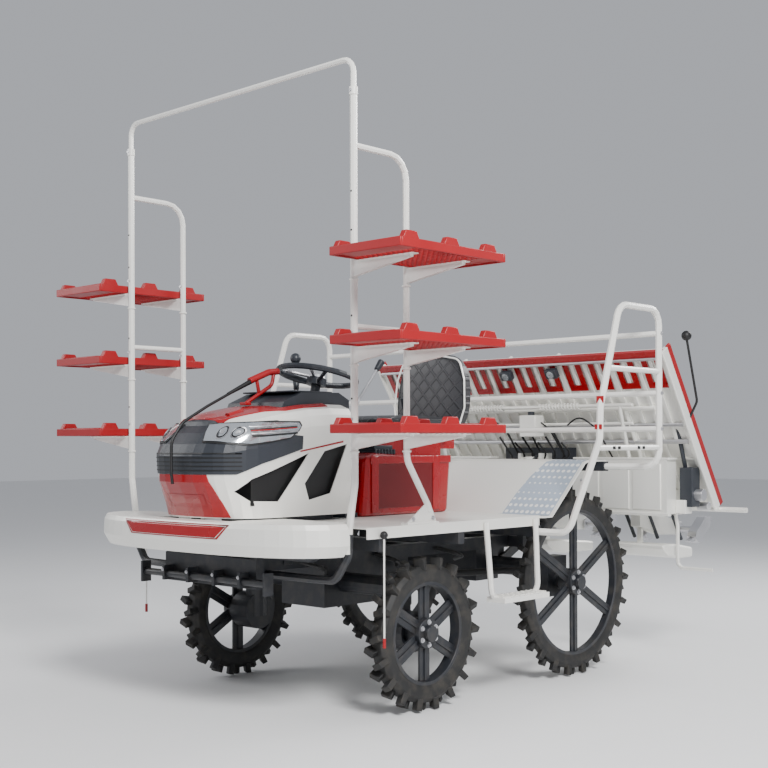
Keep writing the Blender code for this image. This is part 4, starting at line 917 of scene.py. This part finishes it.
class TRANSPLANTER_OT_guard_fittings(bpy.types.Operator):
    """Add slots, tags, caps and bolts to the guard rails, steps and row markers"""

    bl_idname = "transplanter.guard_fittings"
    bl_label = "Guard fittings"

    def execute(self, context):
        y = FRONT_Y
        slots, tags, bolts = (bmesh.new() for _ in range(3))
        for side, sign in SIDES:
            for run in (0.70, 0.74, 0.90, 0.94):
                inner, outer = sorted((sign * 1.1000, sign * 1.1035))
                add_block(slots, (inner - 0.0005, y + run, 1.098), (outer, y + run + 0.016, 1.112))
            for z, lean, size in ((1.30, 0.632, 0.030), (1.185, 0.618, 0.022)):
                add_side_block(tags, sign, (1.072, y + lean - 0.020, z), (1.108, y + lean - 0.0165, z + size))
            for z in (1.190, 1.355, 1.630):
                bolt(bolts, (sign * 1.104, y + 1.10, z), (sign, 0, 0), 0.0075)
        piece(slots, "guard_slots", black_hole(), "chassis")
        piece(tags, "guard_tags", red_gloss(), "chassis")
        piece(bolts, "guard_bolts", steel(), "chassis")
        # treads of the steps
        for side, sign in SIDES:
            low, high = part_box(f"side_step_{side}")
            bm = bmesh.new()
            inner, outer = low.x + 0.010, high.x - 0.010
            if sign > 0:
                inner = 0.750
            else:
                outer = -0.750
            top = 0.465
            count = 9
            for number in range(count):
                run = y + 0.275 + number * 0.036
                add_block(bm, (inner, run, top), (outer, run + 0.006, top + 0.006))
            for x in (inner + 0.01, (inner + outer) / 2, outer - 0.01):
                add_block(bm, (x - 0.003, y + 0.268, top), (x + 0.003, y + 0.572, top + 0.005))
            piece(bm, f"step_tread_{side}", white(), "chassis")
            # row marker: a knob on the deck's edge with its thin hanging rod
            knob = bmesh.new()
            x = sign * 0.778
            bmesh.ops.create_uvsphere(
                knob, u_segments=20, v_segments=12, radius=0.016, matrix=Matrix.Translation(
                    (x, y - 0.42, 0.770)
                )
            )
            piece(knob, f"row_marker_knob_{side}", black_hole(), "chassis")
            thin = bmesh.new()
            add_rod(thin, (x, y - 0.42, 0.757), (x, y - 0.42, 0.365), 0.0038, 10)
            piece(thin, f"row_marker_rod_{side}", white(), "chassis")
            tip = bmesh.new()
            add_rod(tip, (x, y - 0.42, 0.368), (x, y - 0.42, 0.330), 0.0065, 12)
            piece(tip, f"row_marker_tip_{side}", red_plastic(), "chassis")
        return {"FINISHED"}


class TRANSPLANTER_OT_platform_details(bpy.types.Operator):
    """Add the platform's edge boards, underside ribs, bands and lamps"""

    bl_idname = "transplanter.platform_details"
    bl_label = "Seedling platform details"

    def slope(self):
        """The platform's own frame: X across, Y up its slope and Z out of its seedling side."""
        along = (PLATFORM_HEAD - PLATFORM_FOOT).normalized()
        out = Vector((0, along.z, -along.y))
        turn = Matrix((Vector((1, 0, 0)), along, out)).transposed().to_4x4()
        return Matrix.Translation(PLATFORM_FOOT) @ turn

    def execute(self, context):
        slope = self.slope()
        length = (PLATFORM_HEAD - PLATFORM_FOOT).length
        half = PLATFORM_HALF
        edges, boards = bmesh.new(), bmesh.new()
        for sign in (1, -1):
            inner, outer = sorted((sign * (half - 0.002), sign * (half + 0.012)))
            add_block(edges, (inner, -0.004, 0.022), (outer, length + 0.004, 0.056), slope)
            add_block(boards, (inner, 0.0, -0.030), (outer - 0.001, length, 0.0225), slope)
        piece(edges, "platform_edges", red_plastic(), "seedling_platform", edge=0.004)
        piece(boards, "platform_side_boards", ivory(), "seedling_platform", edge=0.003)
        lever = bmesh.new()
        path = (
            (0.952, UNIT_Y - 0.080, 1.250), (1.000, UNIT_Y - 0.090, 1.330), (0.990, UNIT_Y - 0.170, 1.630)
        )
        add_bent_rod(lever, rounded(path, 0.05), 0.006, 10)
        knob = Matrix.Translation((0.990, UNIT_Y - 0.174, 1.652))
        bmesh.ops.create_uvsphere(lever, u_segments=20, v_segments=12, radius=0.025, matrix=knob)
        piece(lever, "platform_lever", black_hole(), "seedling_platform", facing=True)
        band = bmesh.new()
        add_block(band, (-half, length - 0.035, -0.022), (half, length + 0.002, 0.0), slope)
        piece(band, "platform_band", red_gloss(), "seedling_platform")
        ribs = bmesh.new()
        count = 24
        for number in range(count + 1):
            x = -half + 0.012 + number * (2 * half - 0.024) / count
            wide = 0.010 if number % 4 else 0.016
            add_block(ribs, (x - wide, 0.04, -0.012), (x + wide, length - 0.045, -0.0005), slope)
        for along in (0.10, 0.30):
            add_block(ribs, (-half + 0.004, along, -0.0085), (half - 0.004, along + 0.012, -0.0005), slope)
        piece(ribs, "platform_ribs", ivory(), "seedling_platform", edge=0.002)
        loops = bmesh.new()
        for number in range(12):
            x = -half + 0.085 + number * (2 * half - 0.17) / 11
            for side in (-0.038, 0.038):
                low, high = (
                    x + side - 0.017, length - 0.19, -0.0135
                ), (x + side + 0.017, length - 0.05, -0.0125)
                add_block(loops, low, high, slope)
            add_block(loops, (x - 0.055, length - 0.21, -0.0135), (x + 0.055, length - 0.175, -0.0125), slope)
        piece(loops, "platform_loops", red_gloss(), "seedling_platform", edge=0.001)
        rails = bmesh.new()
        for along, out, radius in (
            (length - 0.035, -0.030, 0.0075), (0.52, -0.0145, 0.010), (0.42, -0.017, 0.012)
        ):
            add_rod(rails, (-half + 0.02, along, out), (half - 0.02, along, out), radius, 14, turn=slope)
        piece(rails, "platform_bars", steel(), "seedling_platform")
        lamps, glow = bmesh.new(), bmesh.new()
        for x in (-0.016, 0.280):
            add_block(lamps, (x - 0.035, length - 0.105, -0.060), (x + 0.035, length - 0.055, -0.028), slope)
            add_rod(lamps, (x, length - 0.08, -0.030), (x, length - 0.08, -0.010), 0.008, turn=slope)
            add_rod(glow, (x, length - 0.080, -0.0635), (x, length - 0.080, -0.0595), 0.021, 24, turn=slope)
        piece(lamps, "work_lamp_cases", dark(), "seedling_platform", edge=0.004)
        piece(glow, "work_lamp_lenses", lamp_glass(), "seedling_platform")
        mats = bmesh.new()
        channel = (2 * half - 0.012) / 6
        for row in range(6):
            x = -half + 0.012 + row * channel
            for number in range(9):
                add_block(
                    mats, (x + 0.012 + number * 0.031, 0.02, 0.0075),
                    (x + 0.018 + number * 0.031, length - 0.06, 0.0115), slope
                )
        piece(mats, "platform_slide_ribs", ivory(), "seedling_platform")
        return {"FINISHED"}


class TRANSPLANTER_OT_planting_details(bpy.types.Operator):
    """Add panels, springs, tank, hoses, chains and levers of the planting unit"""

    bl_idname = "transplanter.planting_details"
    bl_label = "Planting unit details"

    def coil(self, bm, start, end, radius, wire, turns):
        start, end = Vector(start), Vector(end)
        along = end - start
        turn = along.to_track_quat("Z", "Y").to_matrix()
        points = []
        steps = 10
        for step in range(turns * steps + 1):
            angle = 2 * math.pi * step / steps
            points.append(start + along * step / (turns * steps) + turn @ Vector(
                (radius * math.cos(angle), radius * math.sin(angle), 0)
            ))
        add_bent_rod(bm, points, wire, 6)

    def execute(self, context):
        y = UNIT_Y
        panels, folds, darks, hoses, steels, coils = (bmesh.new() for _ in range(6))
        for side, sign in SIDES:
            low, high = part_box(f"planting_cover_{side}")
            front = low.y
            for number in range(3):
                x = sign * (0.36 + number * 0.185)
                add_block(
                    panels, (x - 0.082, front - 0.006, low.z + 0.02),
                    (x + 0.082, front + 0.001, high.z - 0.02)
                )
            add_side_block(
                folds, sign, (0.28, front - 0.012, low.z - 0.010), (0.86, front + 0.020, low.z + 0.006)
            )
            add_side_block(folds, sign, (0.28, front - 0.004, high.z), (0.86, front + 0.075, high.z + 0.010))
            add_side_block(darks, sign, (0.86, y - 0.02, 0.80), (0.93, y + 0.06, 1.00))
            add_rod(darks, (sign * 0.87, y + 0.02, 1.00), (sign * 0.87, y - 0.08, 1.26), 0.011)
            add_rod(steels, (sign * 0.91, y + 0.03, 0.86), (sign * 0.97, y + 0.03, 0.86), 0.030, 20)
            add_rod(steels, (sign * 0.90, y + 0.10, 0.80), (sign * 0.96, y + 0.10, 0.80), 0.022, 20)
            add_side_block(panels, sign, (0.845, y - 0.035, 0.765), (0.90, y + 0.035, 0.835))
            self.coil(
                coils, (sign * 0.12, y - 0.20, 1.318), (sign * 0.38, y - 0.20, 1.318), 0.016, 0.0035, 13
            )
            for z in (0.86, 0.93, 1.0):
                bolt(steels, (sign * 0.335, front - 0.006, z), (0, -1, 0), 0.006)
            # chains, shafts and brackets by each outer float
            for number in range(4):
                x = sign * (0.35 + 0.14 * number)
                add_rod(darks, (x, y + 0.05, 0.77), (x, y + 0.15, 0.62), 0.010)
        add_rod(panels, (-0.70, y - 0.200, 1.318), (0.70, y - 0.200, 1.318), 0.010, 14)
        for x in (-0.62, 0.62):
            add_rod(panels, (x, y - 0.100, 1.02), (x, y - 0.200, 1.318), 0.010, 12)
        add_rod(panels, (-0.68, y - 0.165, 1.225), (0.68, y - 0.165, 1.225), 0.0085, 14)
        # tank and the hoses round the lift
        add_block(panels, (0.02, y - 0.250, 1.160), (0.125, y - 0.170, 1.275))
        add_rod(darks, (0.07, y - 0.21, 1.275), (0.07, y - 0.21, 1.295), 0.018, 20)
        for number in range(9):
            x = -0.20 + number * 0.052
            sway = 0.035 * math.sin(number * 2.1)
            add_bent_rod(hoses, rounded(((x, y - 0.14, 1.16 + sway), (x + 0.05, y - 0.10, 1.06), (
                x * 0.5 + sway, y - 0.115, 0.96 - sway
            ),
                                         (x * 0.4, y - 0.06, 0.84)), 0.05), 0.0055, 8)
        for number in range(3):
            x = -0.30 + number * 0.30
            add_bent_rod(hoses, rounded((
                (x, y - 0.20, 1.22), (x + 0.08, y - 0.21, 1.27), (x + 0.17, y - 0.18, 1.20),
                (x + 0.20, y - 0.08, 1.05)
            ), 0.07), 0.0045, 8)
        add_block(darks, (-0.24, y - 0.035, 0.86), (0.24, y - 0.0315, 1.10))
        for x in (-0.6, 0.0, 0.6):
            add_rod(steels, (x - 0.040, y + 0.37, 0.66), (x - 0.029, y + 0.37, 0.66), 0.034, 24)
            add_rod(steels, (x + 0.029, y + 0.37, 0.66), (x + 0.040, y + 0.37, 0.66), 0.034, 24)
        for name, bm, material, slot, edge in (
            ("unit_panels", panels, ivory(), "ivory_paint", 0.004),
            ("unit_folds", folds, ivory(), "ivory_paint", 0.003),
            ("unit_mechanism", darks, dark(), "dark_plastic", 0.003),
            ("unit_hoses", hoses, black_hole(), "dark_plastic", 0),
            ("unit_fittings", steels, steel(), "bright_steel", 0.001),
            ("unit_springs", coils, white(), "white_tube", 0),
        ):
            piece(bm, name, material, "planting_frame", facing=True, edge=edge)
        return {"FINISHED"}


class TRANSPLANTER_OT_underside(bpy.types.Operator):
    """Add the muffler, hoses, pulleys and fins round the engine and gearboxes"""

    bl_idname = "transplanter.underside"
    bl_label = "Underside details"

    def execute(self, context):
        y = FRONT_Y
        bumper_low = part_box("front_bumper")[0]
        bm = bmesh.new()
        add_rod(bm, (0.05, y - 0.56, 0.700), (0.52, y - 0.56, 0.700), 0.045, 24)
        add_rod(bm, (0.52, y - 0.56, 0.700), (0.57, y - 0.56, 0.700), 0.045, 24, end_radius=0.02)
        add_rod(bm, (-0.36, y - 0.52, 0.705), (-0.10, y - 0.52, 0.705), 0.035, 20)
        for x in (-0.18, -0.06, 0.10, 0.22):
            add_block(bm, (x, y - 0.45, 0.62), (x + 0.012, y - 0.40, 0.80))
        for number in range(7):
            z = 0.70 + number * 0.035
            add_block(bm, (-0.178, y - 0.40, z), (0.178, y - 0.16, z + 0.010))
        add_rod(bm, (0.166, y - 0.26, 0.90), (0.200, y - 0.26, 0.90), 0.075, 30)
        add_rod(bm, (0.166, y - 0.40, 0.76), (0.196, y - 0.40, 0.76), 0.045, 24)
        piece(bm, "engine_fittings", chassis_paint(), "chassis", edge=0.002)
        bm = bmesh.new()
        for side, sign in SIDES:
            for spot in ((0.33, -0.36), (0.33, 0.10), (0.36, 0.52)):
                path = (
                    (sign * 0.23, y + spot[1], 0.63), (sign * spot[0], y + spot[1] + 0.05, 0.60),
                    (sign * 0.16, y + spot[1] + 0.22, 0.56)
                )
                add_bent_rod(bm, rounded(path, 0.06), 0.010, 10)
            add_rod(bm, (sign * 0.10, y + 0.25, 0.505), (sign * 0.44, y + 1.02, 0.505), 0.016)
        piece(bm, "underside_hoses", black_hole(), "chassis", facing=True)
        bm = bmesh.new()
        for x in (-0.249, -0.086, 0.086, 0.249):
            bolt(bm, (x, bumper_low.y - 0.001, 0.590), (0, -1, 0), 0.006)
        for side, sign in SIDES:
            flange = bmesh.new()
            for k in range(6):
                angle = math.pi * k / 3
                spot = (sign * 0.545, y + 0.066 * math.cos(angle), 0.325 + 0.066 * math.sin(angle))
                bolt(flange, spot, (sign, 0, 0), 0.007)
            piece(flange, f"knuckle_bolts_{side}", steel(), f"front_knuckle_{side}")
            for k in range(5):
                bolt(bm, (sign * 0.30, FRONT_Y - 0.40 + 0.2 * k, 0.7045), (0, 0, -1), 0.007)
        piece(bm, "underside_bolts", steel(), "chassis")
        return {"FINISHED"}


class TRANSPLANTER_OT_stage(bpy.types.Operator):
    """Set the floor, the studio lights and the camera"""

    bl_idname = "transplanter.stage"
    bl_label = "Stage"

    def execute(self, context):
        bm = bmesh.new()
        bmesh.ops.create_grid(bm, x_segments=1, y_segments=1, size=30)
        mesh = bpy.data.meshes.new("studio_floor")
        bm.to_mesh(mesh)
        bm.free()
        floor = bpy.data.objects.new("studio_floor", mesh)
        mesh.materials.append(finish("studio_pale", (0.80, 0.80, 0.80), 0.8, mottle=0.02))
        context.scene.collection.objects.link(floor)
        floor.location.z = -0.001
        world = bpy.data.worlds.new("studio")
        world.use_nodes = True
        world.node_tree.nodes["Background"].inputs["Color"].default_value = (0.90, 0.93, 1.0, 1)
        world.node_tree.nodes["Background"].inputs["Strength"].default_value = 0.50
        context.scene.world = world
        for name, place, size, power in (
            ("key", (5.0, -3.2, 4.8), 1.6, 620), (
                "fill", (-4.8, -3.6, 3.6), 3.0, 130
            ), ("back", (1.5, 5.0, 4.5), 2.5, 260)
        ):
            light = bpy.data.lights.new(name, "AREA")
            light.size = size
            light.energy = power
            lamp = bpy.data.objects.new(name, light)
            lamp.location = place
            aim = Vector((0, 0, 0.9)) - Vector(place)
            lamp.rotation_euler = aim.to_track_quat("-Z", "Y").to_euler()
            context.scene.collection.objects.link(lamp)
        lens = bpy.data.cameras.new("camera")
        lens.sensor_width = 36
        lens.lens = CAMERA_LENS
        lens.shift_y = CAMERA_SHIFT
        camera = bpy.data.objects.new("camera", lens)
        pan = Matrix.Rotation(math.radians(CAMERA_PAN), 4, "Z")
        tilt = Matrix.Rotation(math.radians(CAMERA_TILT), 4, "X")
        roll = Matrix.Rotation(math.radians(CAMERA_ROLL), 4, "Z")
        camera.matrix_world = Matrix.Translation(CAMERA_PLACE) @ pan @ tilt @ roll
        context.scene.collection.objects.link(camera)
        context.scene.camera = camera
        return {"FINISHED"}


OPERATORS = (
    TRANSPLANTER_OT_frame_finish,
    TRANSPLANTER_OT_wheels,
    TRANSPLANTER_OT_trays,
    TRANSPLANTER_OT_hood_trim,
    TRANSPLANTER_OT_marker,
    TRANSPLANTER_OT_body_trim,
    TRANSPLANTER_OT_seat,
    TRANSPLANTER_OT_controls,
    TRANSPLANTER_OT_rack_fittings,
    TRANSPLANTER_OT_guard_fittings,
    TRANSPLANTER_OT_platform_details,
    TRANSPLANTER_OT_planting_details,
    TRANSPLANTER_OT_underside,
    TRANSPLANTER_OT_stage,
)


class TRANSPLANTER_PT_sidebar(bpy.types.Panel):
    """Settings and steps of the transplanter's looks"""

    bl_idname = "TRANSPLANTER_PT_sidebar"
    bl_label = "Transplanter"
    bl_space_type = "VIEW_3D"
    bl_region_type = "UI"
    bl_category = "Transplanter"

    def draw(self, context):
        for name in TransplanterLooks.__annotations__:
            self.layout.prop(context.scene.transplanter_looks, name)
        for operator in OPERATORS:
            self.layout.operator(operator.bl_idname)


CLASSES = (TransplanterLooks, *OPERATORS, TRANSPLANTER_PT_sidebar)


def register():
    for made in CLASSES:
        bpy.utils.register_class(made)
    bpy.types.Scene.transplanter_looks = bpy.props.PointerProperty(type=TransplanterLooks)


def unregister():
    del bpy.types.Scene.transplanter_looks
    for made in reversed(CLASSES):
        bpy.utils.unregister_class(made)


def main():
    register()
    for operator in OPERATORS:
        group, name = operator.bl_idname.split(".")
        getattr(getattr(bpy.ops, group), name)()
    bpy.context.view_layer.update()


if __name__ == "__main__":
    main()
